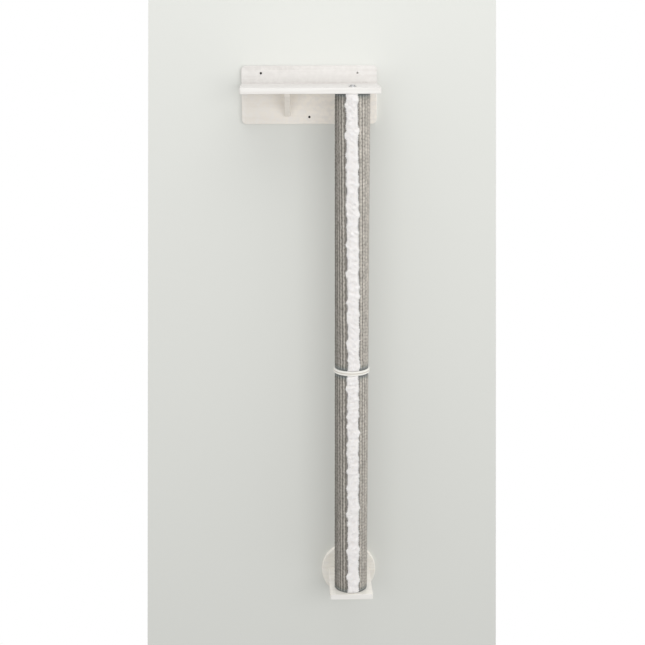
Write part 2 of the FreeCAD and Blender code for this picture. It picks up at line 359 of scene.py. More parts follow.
def use_modifier(obj, kind, **settings):
    # Adds a modifier, sets it and applies it.
    choose(obj)
    modifier = obj.modifiers.new(kind.title(), kind)
    for name, value in settings.items():
        setattr(modifier, name, value)
    bpy.ops.object.modifier_apply(modifier=modifier.name)


def new_block(name, low, high):
    # A block between two corners, its place in its mesh.
    low, high = Vector(low), Vector(high)
    bpy.ops.object.select_all(action="DESELECT")
    bpy.ops.mesh.primitive_cube_add(size=1, location=(low + high) / 2)
    block = bpy.context.object
    block.name = name
    block.scale = high - low
    settle(block)
    return block


def new_rod(name, foot, along, radius, length, sides=32):
    # A round rod from its foot point along a direction.
    bpy.ops.object.select_all(action="DESELECT")
    bpy.ops.mesh.primitive_cylinder_add(
        vertices=sides, radius=radius, depth=length, location=Vector(foot) + along * (length / 2),
        rotation=along.to_track_quat("Z", "Y").to_euler())
    rod = bpy.context.object
    rod.name = name
    settle(rod)
    return rod


def round_edges(obj, radius, segments, test):
    # Rounds the edges whose middle and run pass the test.
    start_editing(obj)
    pick(obj, "EDGE", test)
    bpy.ops.mesh.bevel(offset=radius, offset_type="OFFSET", segments=segments, profile=0.5, affect="EDGES")
    stop_editing()


def looks(face, way):
    # True for a face that looks along a direction, give or take 25 degrees.
    return face.normal.dot(way) > 0.9


def widen_end(rod, end, along, depth, factor):
    # Draws one end of a rod out by a depth, wider or narrower by a factor.
    start_editing(rod)
    pick(rod, "FACE", lambda face: looks(face, along) and len(face.verts) > 4)
    bpy.ops.mesh.extrude_region_move(TRANSFORM_OT_translate={"value": along * depth})
    bpy.ops.transform.resize(value=(factor,) * 3, center_override=Vector(end) + along * depth)
    stop_editing()


def cut_away(obj, cutter):
    # Takes the cutter's form out of the object and removes the cutter.
    use_modifier(obj, "BOOLEAN", operation="DIFFERENCE", solver="EXACT", object=cutter)
    bpy.data.objects.remove(cutter)


def drill(obj, foot, along, radius, length, flare=0.0):
    # A hole from a point along a direction, whose ends open a little if it has a flare.
    near, far = Vector(foot) + along * flare, Vector(foot) + along * (length - flare)
    cutter = new_rod("drill", near, along, radius, length - 2 * flare)
    if flare:
        for end, way in ((near, -along), (far, along)):
            widen_end(cutter, end, way, flare, (radius + flare) / radius)
            widen_end(cutter, end + way * flare, way, MM, 1.0)
    cut_away(obj, cutter)


def screw_hole(obj, head):
    # The countersunk hole of one panel screw, open at the wall side.
    sizes = bpy.context.scene.wall_screws
    gap = sizes.hole_gap
    start = Vector(head) + FROM_WALL * sizes.head_depth
    cutter = new_rod("drill", start, FROM_WALL, sizes.radius + gap, sizes.length - sizes.head_depth + gap)
    factor = (sizes.head_radius + gap) / (sizes.radius + gap)
    widen_end(cutter, start, -FROM_WALL, sizes.head_depth, factor)
    widen_end(cutter, head, -FROM_WALL, MM, 1.0)
    cut_away(obj, cutter)


def point_values(obj, name, values, kind="FLOAT"):
    # Stores one value or vector for each point of the mesh.
    layer = obj.data.attributes.new(name, kind, "POINT")
    values = np.asarray(values, dtype=np.float32).ravel()
    layer.data.foreach_set("value" if kind == "FLOAT" else "vector", values)


def face_values(obj, name, values):
    # Stores one value for each face of the mesh.
    obj.data.attributes.new(name, "FLOAT", "FACE").data.foreach_set("value", values)


def point_places(obj):
    places = np.empty(len(obj.data.vertices) * 3)
    obj.data.vertices.foreach_get("co", places)
    return places.reshape(-1, 3)


def move_points(obj, places):
    obj.data.vertices.foreach_set("co", places.ravel())
    obj.data.update()


def round_front(board, nose_radius, rim_radius):
    # Rounds a board's two front corners, and then its edges but for those at the wall side.
    places = point_places(board)
    low, high = places.min(axis=0), places.max(axis=0)
    round_edges(board, nose_radius, 5, lambda edge: (
        runs_along(edge, UPWARDS) and middle(edge).y < low[Y] + SAME_PLACE))
    level = (low[Z] + high[Z]) / 2
    half = (high[Z] - low[Z]) / 2
    round_edges(board, rim_radius, 3, lambda edge: (
        middle(edge).y < high[Y] - SAME_PLACE and abs(abs(middle(edge).z - level) - half) < SAME_PLACE))


def mark_rims(obj, width):
    # A point value that is 1 in the middle of the rounded edges and 0 on the flats.
    mesh = bmesh.new()
    mesh.from_mesh(obj.data)
    rims = []
    for point in mesh.verts:
        narrow = [min(edge.calc_length() for edge in face.edges) < width for face in point.link_faces]
        rims.append(1.0 if narrow and all(narrow) else 0.0)
    mesh.free()
    point_values(obj, "rim", rims)


def mark_grain(obj, along, across, rim_width):
    # The piece's own grain: distance along it, across it and through the board.
    through = along.cross(across)
    axes = np.array([along, across, through])
    point_values(obj, "grain", point_places(obj) @ axes.T, "FLOAT_VECTOR")
    mark_rims(obj, rim_width)


def mark_hole_shade(obj, points, radius):
    # A face value that is 1 inside the given holes, where the finish paints a dark shade.
    inside = []
    for face in obj.data.polygons:
        near = any(math.hypot(face.center.x - point.x, face.center.z - point.z) < radius for point in points)
        inside.append(1.0 if near and abs(face.normal.dot(FROM_WALL)) < 0.9 else 0.0)
    face_values(obj, "bore", inside)


def mark_painted_light(board):
    # A point value that is 1 on the pieces that get painted light below the shelf and a painted shade towards
    # the left.
    point_values(board, "uneven", np.ones(len(board.data.vertices)))


def mark_front(board):
    # A face value that is 1 on the front edge of a board, which gets a painted highlight.
    forward = [1.0 if face.normal.dot(FROM_WALL) > 0.7 else 0.0 for face in board.data.polygons]
    face_values(board, "lip", forward)


def smooth(obj, degrees):
    choose(obj)
    bpy.ops.object.shade_smooth_by_angle(angle=math.radians(degrees))


def finish_board(obj, node, along, across, finish="painted_board"):
    # The last steps of every painted piece.
    smooth(obj, 40)
    use_modifier(obj, "WEIGHTED_NORMAL", keep_sharp=True, weight=80)
    mark_grain(obj, along, across, MM)
    finish_piece(obj, finish, node)


def finish_piece(obj, finish, *nodes):
    # Gives the piece its finish and puts it in the frame.
    obj.data.materials.clear()
    obj.data.materials.append(finish_named(finish))
    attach(obj, "root")
    if nodes:
        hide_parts(*nodes)


def mid(node, axis):
    # The middle of a node's box along one axis.
    low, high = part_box(node)
    return (low[axis] + high[axis]) / 2


def post_axis():
    # The point at the frame's height through which the posts' axis runs.
    return Vector((mid("upper_core", X), mid("upper_core", Y), 0))


def tube_radius():
    low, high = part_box("upper_core")
    return (high[X] - low[X]) / 2


def cover_radius():
    sizes = bpy.context.scene.wall_cover
    return tube_radius() + sizes.glue_line + sizes.thickness


def bolt_hole(board, bottom, top):
    # The hole for a post bolt through a level board, on the posts' axis.
    sizes = bpy.context.scene.wall_boards
    foot = post_axis() + UPWARDS * bottom
    drill(board, foot, UPWARDS, sizes.bolt_hole_radius, top - bottom, sizes.hole_flare)


def wall_holes():
    # The back board's three wall holes, left, right and low, at the wall.
    pitch = bpy.context.scene.wall_boards.wall_hole_pitch
    low_hole = mounts["lower_wall_hole"]["pos_m"]
    return [Vector((-pitch / 2, 0, 0)), Vector((pitch / 2, 0, 0)), Vector((low_hole[0], 0, low_hole[2]))]


def shelf_screw_heads():
    pitch = bpy.context.scene.wall_screws.shelf_pitch
    return [Vector((step * pitch, 0, mid("shelf", Z))) for step in (-1, 0, 1)]


def bracket_screw_heads():
    sizes = bpy.context.scene.wall_screws
    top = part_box("shelf_bracket")[1][Z]
    drops = (sizes.bracket_drop, sizes.bracket_drop + sizes.bracket_pitch)
    return [Vector((mid("shelf_bracket", X), 0, top - drop)) for drop in drops]


def foot_screw_heads():
    pitch = bpy.context.scene.wall_screws.foot_pitch
    centre = Vector((mid("foot_board", X), 0, mid("foot_board", Z)))
    return [centre + LEFT_TO_RIGHT * (side * pitch / 2) for side in (-1, 1)]


# Nodes

def add(tree, kind, inputs=None, **settings):
    # One node with its settings; an input is a value or another node's output.
    node = tree.nodes.new(kind)
    for name, value in settings.items():
        setattr(node, name, value)
    for name, value in (inputs or {}).items():
        if isinstance(value, bpy.types.NodeSocket):
            tree.links.new(value, node.inputs[name])
        else:
            node.inputs[name].default_value = value
    return node


def calc(tree, operation, first, second=0.0, third=0.0):
    return add(tree, "ShaderNodeMath", {0: first, 1: second, 2: third}, operation=operation).outputs[0]


def opaque(colour):
    # A node's output as it is, or the three numbers of a colour with full alpha.
    if isinstance(colour, bpy.types.NodeSocket):
        return colour
    return (colour[0], colour[1], colour[2], 1.0)


def blend(tree, share, first, second, way="MIX"):
    inputs = {0: share, 6: opaque(first), 7: opaque(second)}
    return add(tree, "ShaderNodeMix", inputs, data_type="RGBA", blend_type=way).outputs[2]


def scaled(tree, colour, factor):
    # A colour times a value.
    grey = add(tree, "ShaderNodeCombineXYZ", {"X": factor, "Y": factor, "Z": factor}).outputs[0]
    return blend(tree, 1.0, colour, grey, "MULTIPLY")


def spread(tree, value, low, high, to_low, to_high):
    return add(tree, "ShaderNodeMapRange", {0: value, 1: low, 2: high, 3: to_low, 4: to_high}).outputs[0]


def cloud(tree, place, scale, detail=2.0, roughness=0.5):
    inputs = {"Vector": place, "Scale": scale, "Detail": detail, "Roughness": roughness}
    return add(tree, "ShaderNodeTexNoise", inputs).outputs[0]


def split(tree, vector):
    # The three numbers of a vector.
    return add(tree, "ShaderNodeSeparateXYZ", {0: vector}).outputs


def stretch(tree, place, factors):
    return add(tree, "ShaderNodeVectorMath", {0: place, 1: factors}, operation="MULTIPLY").outputs[0]


def read_value(tree, name):
    return add(tree, "ShaderNodeAttribute", attribute_name=name).outputs["Fac"]


def read_vector(tree, name):
    return add(tree, "ShaderNodeAttribute", attribute_name=name).outputs["Vector"]


def object_place(tree):
    return add(tree, "ShaderNodeTexCoord").outputs["Object"]


def shader_group(name, inputs, outputs):
    # An empty node group with named inputs and outputs.
    group = bpy.data.node_groups.new(name, "ShaderNodeTree")
    for label, kind, value in inputs:
        socket = group.interface.new_socket(name=label, in_out="INPUT", socket_type=kind)
        if value is not None:
            socket.default_value = value
    for label, kind in outputs:
        group.interface.new_socket(name=label, in_out="OUTPUT", socket_type=kind)
    return group, group.nodes.new("NodeGroupInput").outputs, group.nodes.new("NodeGroupOutput").inputs


def edge_wear_and_highlight_group():
    # Where paint is thin and a painted highlight lies: the rounded edges, broken up by a cloud.
    group, given, result = shader_group(
        "edge_wear",
        [("Place", "NodeSocketVector", None), ("Rim", "NodeSocketFloat", 0.0),
         ("Scale", "NodeSocketFloat", 60.0)],
        [("Mask", "NodeSocketFloat")])
    patches = cloud(group, given["Place"], given["Scale"], 3.0, 0.6)
    broken = spread(group, patches, 0.42, 0.62, 0.25, 1.0)
    group.links.new(calc(group, "MULTIPLY", given["Rim"], broken), result["Mask"])
    return group


def wood_grain_group():
    # Long streaks and fine pores along the grain, and slow clouds in the coat of paint.
    group, given, result = shader_group(
        "wood_grain",
        [("Place", "NodeSocketVector", None), ("Fineness", "NodeSocketFloat", 1.0)],
        [("Streaks", "NodeSocketFloat"), ("Pores", "NodeSocketFloat"), ("Clouds", "NodeSocketFloat")])
    bent = cloud(group, stretch(group, given["Place"], (3.0, 14.0, 14.0)), 1.0, 1.0)
    sway = add(group, "ShaderNodeCombineXYZ", {"Y": calc(group, "MULTIPLY", bent, 0.02)}).outputs[0]
    place = add(group, "ShaderNodeVectorMath", {0: given["Place"], 1: sway}, operation="ADD").outputs[0]
    long_place = stretch(group, place, (2.4, 75.0, 75.0))
    group.links.new(cloud(group, long_place, given["Fineness"], 4.0, 0.62), result["Streaks"])
    pore_place = stretch(group, place, (60.0, 900.0, 900.0))
    group.links.new(cloud(group, pore_place, given["Fineness"], 2.0, 0.7), result["Pores"])
    group.links.new(cloud(group, given["Place"], 6.0, 2.0, 0.5), result["Clouds"])
    return group


def yarn_cloud(group, run, along, factors, roughness):
    # A cloud over the flat weave, stretched by one factor across the ribs and one along them.
    place = add(group, "ShaderNodeCombineXYZ", {
        "X": calc(group, "MULTIPLY", run, factors[0]), "Y": calc(group, "MULTIPLY", along, factors[1])})
    return cloud(group, place.outputs[0], 1.0, 3.0, roughness)


def yarn_group():
    # Twisted yarn that runs in a herringbone: Run counts the ribs, Along is in metres.
    group, given, result = shader_group(
        "twisted_yarn",
        [("Run", "NodeSocketFloat", 0.0), ("Along", "NodeSocketFloat", 0.0),
         ("Pitch", "NodeSocketFloat", 0.0018), ("Slant", "NodeSocketFloat", 0.004)],
        [("Height", "NodeSocketFloat"), ("Shade", "NodeSocketFloat"), ("Fuzz", "NodeSocketFloat")])
    run, along = given["Run"], given["Along"]
    side = calc(group, "ABSOLUTE", calc(group, "SUBTRACT", calc(group, "FRACT", run), 0.5))
    slid = calc(group, "MULTIPLY_ADD", side, given["Slant"], along)
    turns = calc(group, "DIVIDE", slid, given["Pitch"])
    uneven = calc(group, "MULTIPLY_ADD", yarn_cloud(group, run, along, (3.0, 260.0), 0.65), 1.6, turns)
    wave = calc(group, "SINE", calc(group, "MULTIPLY", uneven, math.tau))
    group.links.new(calc(group, "MULTIPLY_ADD", wave, 0.5, 0.5), result["Height"])
    half_rib = calc(group, "FLOOR", calc(group, "MULTIPLY", run, 2.0))
    group.links.new(yarn_cloud(group, half_rib, along, (1.7, 38.0), 0.6), result["Shade"])
    group.links.new(yarn_cloud(group, run, along, (22.0, 900.0), 0.7), result["Fuzz"])
    return group


def speckle_group():
    # Fine and coarse specks at a given scale, for pressed fibres, plating and fleece.
    group, given, result = shader_group(
        "specks",
        [("Place", "NodeSocketVector", None), ("Scale", "NodeSocketFloat", 400.0)],
        [("Fine", "NodeSocketFloat"), ("Coarse", "NodeSocketFloat")])
    group.links.new(cloud(group, given["Place"], given["Scale"], 3.0, 0.7), result["Fine"])
    slower = calc(group, "MULTIPLY", given["Scale"], 0.17)
    group.links.new(cloud(group, given["Place"], slower, 2.0, 0.5), result["Coarse"])
    return group


GROUP_MAKERS = {
    "edge_wear": edge_wear_and_highlight_group, "wood_grain": wood_grain_group,
    "twisted_yarn": yarn_group, "specks": speckle_group,
}


def use_group(tree, name, inputs):
    # Places a shared effect in a material with its own values.
    group = bpy.data.node_groups.get(name) or GROUP_MAKERS[name]()
    return add(tree, "ShaderNodeGroup", inputs, node_tree=group).outputs


# The imported frame already has plain materials under the bare slot names.
FINISH = "_finish"


def new_finish(name):
    # A material with a lone Principled shader; gives the material, its tree and the shader's inputs.
    material = bpy.data.materials.new(name + FINISH)
    material.use_nodes = True
    tree = material.node_tree
    tree.nodes.clear()
    shader = tree.nodes.new("ShaderNodeBsdfPrincipled")
    output = tree.nodes.new("ShaderNodeOutputMaterial")
    tree.links.new(shader.outputs[0], output.inputs["Surface"])
    return material, tree, shader.inputs


def complete(material, shader, colour, rough, relief, strength, depth, constants=None):
    # Wires a finish's colour, roughness and relief, sets its constant inputs and gives the material.
    tree = material.node_tree
    tree.links.new(colour, shader["Base Color"])
    tree.links.new(rough, shader["Roughness"])
    bump = add(tree, "ShaderNodeBump", {"Height": relief, "Strength": strength, "Distance": depth})
    tree.links.new(bump.outputs[0], shader["Normal"])
    for label, value in (constants or {}).items():
        shader[label].default_value = value
    return material


# Finishes

# The range in which nearly all values of a cloud lie
CLOUD_RANGE = (0.3, 0.7)

# Places between which a coat, a painted light or a painted shade changes, in metres along one axis of the
# frame
WALL_SIDE_Y = (-0.010, -0.002)
BOARD_SHADE_X = (-0.21, 0.21)
LIT_LOW_COAT_X = (-0.21, 0.06)
FOOT_Z = (-1.2, -1.0)
POST_SHADE_Z = (-1.7, -0.05)


def painted(name, paint, streak, lit_low_paint, streak_share, fineness, foot_share):
    # Off-white paint over wood whose grain still shows a little, with painted light below the shelf, painted
    # shade to the left, painted highlights on front edges and rims, and painted shade in the ring's groove
    # and the holes.
    colours = bpy.context.scene.wall_colours
    material, tree, shader = new_finish(name)
    place = read_vector(tree, "grain")
    grain = use_group(tree, "wood_grain", {"Place": place, "Fineness": fineness})
    wear_and_highlight = use_group(tree, "edge_wear", {"Place": place, "Rim": read_value(tree, "rim"), "Scale": 70.0})
    streaks = spread(tree, grain["Streaks"], 0.42, 0.66, 0.0, streak_share)
    clouds = spread(tree, grain["Clouds"], 0.35, 0.65, 0.0, 0.22)
    x, y, z = split(tree, object_place(tree))
    # Pieces marked uneven get the painted light below the shelf and the painted shade towards the left.
    uneven = read_value(tree, "uneven")
    shelf_low, shelf_high = (corner[Z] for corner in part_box("shelf"))
    below = spread(tree, z, shelf_low, shelf_high, 1.0, 0.0)
    below = calc(tree, "MULTIPLY", below, spread(tree, y, *WALL_SIDE_Y, 1.0, 0.0))
    below = calc(tree, "MULTIPLY", below, uneven)
    # Painted light: below the shelf the coat is lighter towards the post and darker to the left.
    lit_low_coat = scaled(tree, lit_low_paint, spread(tree, x, *LIT_LOW_COAT_X, 0.88, 1.14))
    # Painted shade: above the shelf the coat darkens a little towards the left.
    shaded_high_coat = scaled(tree, paint, spread(tree, x, *BOARD_SHADE_X, 0.93, 1.0))
    shaded_high_coat = blend(tree, uneven, paint, shaded_high_coat)
    coat = blend(tree, below, shaded_high_coat, lit_low_coat)
    at_foot = spread(tree, z, *FOOT_Z, foot_share, 0.0)
    coat = blend(tree, at_foot, coat, colours.paint_foot)
    # Painted highlight: the front edges are painted lighter.
    coat = blend(tree, read_value(tree, "lip"), coat, colours.lip)
    streak_tint = [low / high for low, high in zip(streak, paint)]
    fainter = spread(tree, below, 0.0, 1.0, 1.0, 0.5)
    grained = calc(tree, "MULTIPLY", calc(tree, "ADD", streaks, clouds), fainter)
    base = blend(tree, grained, coat, streak_tint, "MULTIPLY")
    # The rims are lighter: thinner paint, and a painted highlight on the rounded edges.
    thin = [min(1.0, value * 1.05) for value in paint]
    worn_lit_and_groove_shaded = blend(tree, calc(tree, "MULTIPLY", wear_and_highlight["Mask"], 0.5), base, thin)
    # Painted shade in the ring's groove.
    worn_lit_and_groove_shaded = blend(tree, read_value(tree, "groove"), worn_lit_and_groove_shaded, (0.74, 0.70, 0.66), "MULTIPLY")
    # Painted shade inside the wall holes.
    hole_shaded = blend(tree, read_value(tree, "bore"), worn_lit_and_groove_shaded, colours.hole)
    rough = spread(tree, grain["Pores"], *CLOUD_RANGE, 0.42, 0.56)
    rough = calc(tree, "MULTIPLY_ADD", wear_and_highlight["Mask"], -0.08, rough)
    relief = calc(tree, "MULTIPLY_ADD", grain["Streaks"], 0.8, calc(tree, "MULTIPLY", grain["Pores"], 0.35))
    return complete(material, shader, hole_shaded, rough, relief, 0.35, 0.00035, {"Specular IOR Level": 0.35})


def painted_board():
    colours = bpy.context.scene.wall_colours
    return painted("painted_board", colours.paint, colours.paint_streak, colours.paint_lit_below_shelf, 0.9, 1.0, 1.0)


def painted_ring():
    colours = bpy.context.scene.wall_colours
    deep = [value * 0.95 for value in colours.ring_paint]
    return painted("painted_ring", colours.ring_paint, deep, colours.ring_paint, 0.5, 1.6, 0.0)


def woven_cover():
    # Grey yarn with painted light on the long flanks of the ribs and painted shade in the valleys, uneven
    # dye, painted shade towards the posts' bottom and where the cover turns away, cooler and darker near its
    # ends.
    colours = bpy.context.scene.wall_colours
    material, tree, shader = new_finish("woven_cover")
    run, along, light = split(tree, read_vector(tree, "weave"))
    yarn = use_group(tree, "twisted_yarn", {"Run": run, "Along": along, "Pitch": 0.0022, "Slant": 0.009})
    lit = calc(tree, "MULTIPLY_ADD", calc(tree, "SUBTRACT", yarn["Height"], 0.5), 0.14, light)
    lit = calc(tree, "MULTIPLY_ADD", calc(tree, "SUBTRACT", yarn["Fuzz"], 0.5), 0.35, lit)
    dye_and_height_shade = spread(tree, yarn["Shade"], 0.34, 0.66, 0.72, 1.16)
    # Painted shade: the yarn is lighter at the top of the posts and darker at their bottom.
    dye_and_height_shade = calc(tree, "MULTIPLY", dye_and_height_shade, spread(tree, along, *POST_SHADE_Z, 0.87, 1.06))
    dyed_and_shaded = scaled(tree, colours.yarn, dye_and_height_shade)
    # Painted light and shade across the ribs, from the valley colour up to the yarn's own.
    share = spread(tree, lit, 0.04, 0.94, 0.0, 1.0)
    base = blend(tree, share, colours.yarn_valley_shade, dyed_and_shaded)
    cool = (0.68, 0.75, 0.75)
    base = blend(tree, calc(tree, "MULTIPLY", read_value(tree, "end"), 0.75), base, cool, "MULTIPLY")
    # Painted shade on the post's sides, where the cover turns away.
    limb_shade_facing = add(tree, "ShaderNodeLayerWeight", {"Blend": 0.5}).outputs["Facing"]
    base = blend(tree, calc(tree, "POWER", limb_shade_facing, 3.0), base, (0.55, 0.55, 0.56), "MULTIPLY")
    rough = spread(tree, yarn["Fuzz"], *CLOUD_RANGE, 0.82, 0.97)
    relief = calc(tree, "MULTIPLY_ADD", yarn["Fuzz"], 0.45, yarn["Height"])
    return complete(material, shader, base, rough, relief, 0.8, 0.0007, {"Specular IOR Level": 0.12})


def edge_binding():
    # Grey thread with painted light and shade over the flattened ends of the ribs, and a dark cord along the
    # cut edge.
    colours = bpy.context.scene.wall_colours
    material, tree, shader = new_finish("edge_binding")
    run, along, light = split(tree, read_vector(tree, "weave"))
    yarn = use_group(tree, "twisted_yarn", {"Run": run, "Along": along, "Pitch": 0.0011, "Slant": 0.0016})
    # The cord colour also serves as the painted shade between the threads.
    deep = colours.binding_deep
    lit = calc(tree, "MULTIPLY_ADD", calc(tree, "SUBTRACT", yarn["Fuzz"], 0.5), 0.5, light)
    base = blend(tree, spread(tree, lit, 0.10, 0.90, 0.0, 1.0), deep, colours.binding)
    cord = blend(tree, spread(tree, yarn["Fuzz"], 0.45, 0.70, 0.0, 0.35), deep, colours.binding)
    base = blend(tree, read_value(tree, "rim"), base, cord)
    rough = spread(tree, yarn["Fuzz"], *CLOUD_RANGE, 0.6, 0.85)
    return complete(material, shader, base, rough, yarn["Height"], 0.6, 0.0003,
                    {"Specular IOR Level": 0.25, "Sheen Weight": 0.1})


def white_plush():
    # White fleece: each tuft has its own tone, and a painted shade makes it a little greyer at its root.
    colours = bpy.context.scene.wall_colours
    material, tree, shader = new_finish("white_plush")
    place = object_place(tree)
    specks = use_group(tree, "specks", {"Place": place, "Scale": 900.0})
    # Painted shade deep in the pile, at the tufts' roots.
    root = [value * 0.97 for value in colours.plush]
    cool = (colours.plush[0] * 0.985, colours.plush[1], min(1.0, colours.plush[2] * 1.03))
    warm = (colours.plush[0], colours.plush[1] * 0.985, colours.plush[2] * 0.96)
    of_tuft = calc(tree, "MULTIPLY", read_value(tree, "tuft"), 0.5)
    shade = calc(tree, "MULTIPLY_ADD", specks["Coarse"], 0.6, of_tuft)
    base = blend(tree, spread(tree, shade, 0.25, 0.75, 0.0, 1.0), warm, cool)
    base = blend(tree, spread(tree, read_value(tree, "tip"), 0.0, 0.55, 0.75, 0.0), base, root)
    rough = spread(tree, specks["Fine"], *CLOUD_RANGE, 0.8, 0.97)
    return complete(material, shader, base, rough, specks["Fine"], 0.25, 0.0004,
                    {"Specular IOR Level": 0.15, "Sheen Weight": 0.35, "Sheen Roughness": 0.45})


def tube_cardboard():
    # Brown board wound in a spiral round the post's axis, with a seam at each turn.
    material, tree, shader = new_finish("tube_cardboard")
    axis = post_axis()
    rise_per_turn, seam_share = 0.11, 0.008
    from_axis = {"Vector": object_place(tree), "Location": (-axis.x, -axis.y, 0)}
    centred = add(tree, "ShaderNodeMapping", from_axis).outputs[0]
    x, y, z = split(tree, centred)
    turn = calc(tree, "DIVIDE", calc(tree, "ARCTAN2", y, x), math.tau)
    wound = calc(tree, "FRACT", calc(tree, "MULTIPLY_ADD", z, 1 / rise_per_turn, turn))
    seam = calc(tree, "LESS_THAN", calc(tree, "ABSOLUTE", calc(tree, "SUBTRACT", wound, 0.5)), seam_share)
    specks = use_group(tree, "specks", {"Place": stretch(tree, centred, (1.0, 1.0, 0.25)), "Scale": 500.0})
    base = blend(tree, specks["Fine"], (0.36, 0.25, 0.155), (0.52, 0.385, 0.26))
    patches = spread(tree, specks["Coarse"], 0.4, 0.7, 0.0, 0.4)
    base = blend(tree, patches, base, (0.44, 0.32, 0.205))
    base = blend(tree, seam, base, (0.22, 0.15, 0.09))
    rough = spread(tree, specks["Fine"], *CLOUD_RANGE, 0.75, 0.9)
    relief = calc(tree, "MULTIPLY_ADD", seam, -0.8, specks["Fine"])
    return complete(material, shader, base, rough, relief, 0.4, 0.0004)


def plug_wood():
    # Pressed wood fibres, fine and speckled.
    material, tree, shader = new_finish("plug_wood")
    specks = use_group(tree, "specks", {"Place": object_place(tree), "Scale": 1100.0})
    fibres = spread(tree, specks["Fine"], *CLOUD_RANGE, 0.0, 1.0)
    base = blend(tree, fibres, (0.40, 0.29, 0.18), (0.60, 0.47, 0.32))
    patches = spread(tree, specks["Coarse"], 0.5, 0.75, 0.0, 0.5)
    base = blend(tree, patches, base, (0.33, 0.23, 0.14))
    rough = spread(tree, specks["Fine"], *CLOUD_RANGE, 0.8, 0.92)
    return complete(material, shader, base, rough, specks["Fine"], 0.4, 0.0003)


def beech():
    # Raw beech with short flecks along the dowel.
    material, tree, shader = new_finish("beech")
    place = object_place(tree)
    upright = add(tree, "ShaderNodeMapping", {"Vector": place, "Rotation": (0, math.pi / 2, 0)}).outputs[0]
    grain = use_group(tree, "wood_grain", {"Place": upright, "Fineness": 2.0})
    specks = use_group(tree, "specks", {"Place": stretch(tree, place, (1.0, 1.0, 0.12)), "Scale": 1500.0})
    base = blend(tree, grain["Streaks"], (0.66, 0.47, 0.29), (0.50, 0.33, 0.19))
    flecks = spread(tree, specks["Fine"], 0.62, 0.72, 0.0, 0.7)
    base = blend(tree, flecks, base, (0.30, 0.18, 0.10))
    rough = spread(tree, grain["Pores"], *CLOUD_RANGE, 0.55, 0.7)
    return complete(material, shader, base, rough, grain["Pores"], 0.3, 0.0002)


def zinc_steel():
    # Zinc plate: a cold grey with cloudy patches and fine scratches.
    material, tree, shader = new_finish("zinc_steel")
    place = object_place(tree)
    specks = use_group(tree, "specks", {"Place": place, "Scale": 1400.0})
    base = blend(tree, specks["Coarse"], (0.38, 0.385, 0.395), (0.50, 0.505, 0.505))
    rough = spread(tree, specks["Coarse"], *CLOUD_RANGE, 0.26, 0.44)
    scratches = cloud(tree, stretch(tree, place, (200.0, 6000.0, 6000.0)), 1.0, 2.0, 0.6)
    relief = calc(tree, "ADD", scratches, specks["Fine"])
    return complete(material, shader, base, rough, relief, 0.15, 0.0001, {"Metallic": 1.0})


FINISH_MAKERS = {
    "painted_board": painted_board, "painted_ring": painted_ring, "woven_cover": woven_cover,
    "edge_binding": edge_binding, "white_plush": white_plush, "tube_cardboard": tube_cardboard,
    "plug_wood": plug_wood, "beech": beech, "zinc_steel": zinc_steel,
}


def finish_named(name):
    return bpy.data.materials.get(name + FINISH) or FINISH_MAKERS[name]()


# Woven mats and plush strips, made flat and then bent round the tube

def flat_mat(name, width, thickness, low, high, borders, rows, columns):
    # A thin upright slab whose outer face has a cut at each border and a fine net of points.
    mat = new_block(name, (-width / 2, -thickness / 2, low), (width / 2, thickness / 2, high))
    start_editing(mat)
    cut_planes(borders, LEFT_TO_RIGHT)
    for cuts in rows:
        pick(mat, "EDGE", lambda edge: middle(edge).y < -thickness / 4 and runs_along(edge, UPWARDS))
        bpy.ops.mesh.subdivide(number_cuts=cuts)
    pick(mat, "EDGE", lambda edge: middle(edge).y < -thickness / 4 and runs_along(edge, LEFT_TO_RIGHT))
    bpy.ops.mesh.subdivide(number_cuts=columns)
    stop_editing()
    return mat


def bend_round_post(mat, angle, width, behind):
    # Bends a flat mat round the post's axis; behind says that its middle is at the wall side.
    use_modifier(mat, "SIMPLE_DEFORM", deform_method="BEND", deform_axis="Z", angle=angle)
    radius = width / angle
    mat.location = post_axis() + Vector((0, radius if behind else -radius, 0))
    mat.rotation_euler = (0, 0, math.pi if behind else 0)
    settle(mat)


def turn_slot(obj, post):
    # Turns a bent piece round the post's axis by the slot's turn at each height.
    turns = getattr(bpy.context.scene.wall_cover, post + "_turns")
    low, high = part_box(post + "_core")
    places = point_places(obj)
    angles = np.interp(places[:, Z], (low[Z], high[Z]), (turns[1], turns[0]))
    axis = post_axis()
    x, y = places[:, X] - axis.x, places[:, Y] - axis.y
    places[:, X] = axis.x + x * np.cos(angles) - y * np.sin(angles)
    places[:, Y] = axis.y + x * np.sin(angles) + y * np.cos(angles)
    move_points(obj, places)


def wrap_round_post(mat, post, angle, width, behind):
    # Bends a flat mat round a post, turns it with the slot and shades it smooth.
    bend_round_post(mat, angle, width, behind)
    turn_slot(mat, post)
    smooth(mat, 80)


def outer_face(mat):
    # A flat mat's points, their x and z, and which of them lie on its outer face.
    places = point_places(mat)
    return places, places[:, X].copy(), places[:, Z].copy(), places[:, Y] < 0


def slot_half_angle():
    return math.asin(bpy.context.scene.wall_cover.slot_width / 2 / cover_radius())


def unroll(thickness):
    # The angle, width and rib borders of a sleeve of this thickness, laid flat along its middle.
    sizes = bpy.context.scene.wall_cover
    angle = math.tau - 2 * slot_half_angle()
    middle_radius = tube_radius() + sizes.glue_line + thickness / 2
    width = angle * middle_radius
    scale = middle_radius / cover_radius()
    return angle, width, rib_borders(width, sizes.hem_width * scale, sizes.rib_pitch * scale)


def wander(place, spans, draws):
    # A slow random sway along a length: sine waves of the given spans, from -1 to 1.
    total = np.zeros_like(place)
    for span in spans:
        total = total + np.sin(math.tau * place / span + draws.uniform(0, math.tau))
    return total / len(spans)


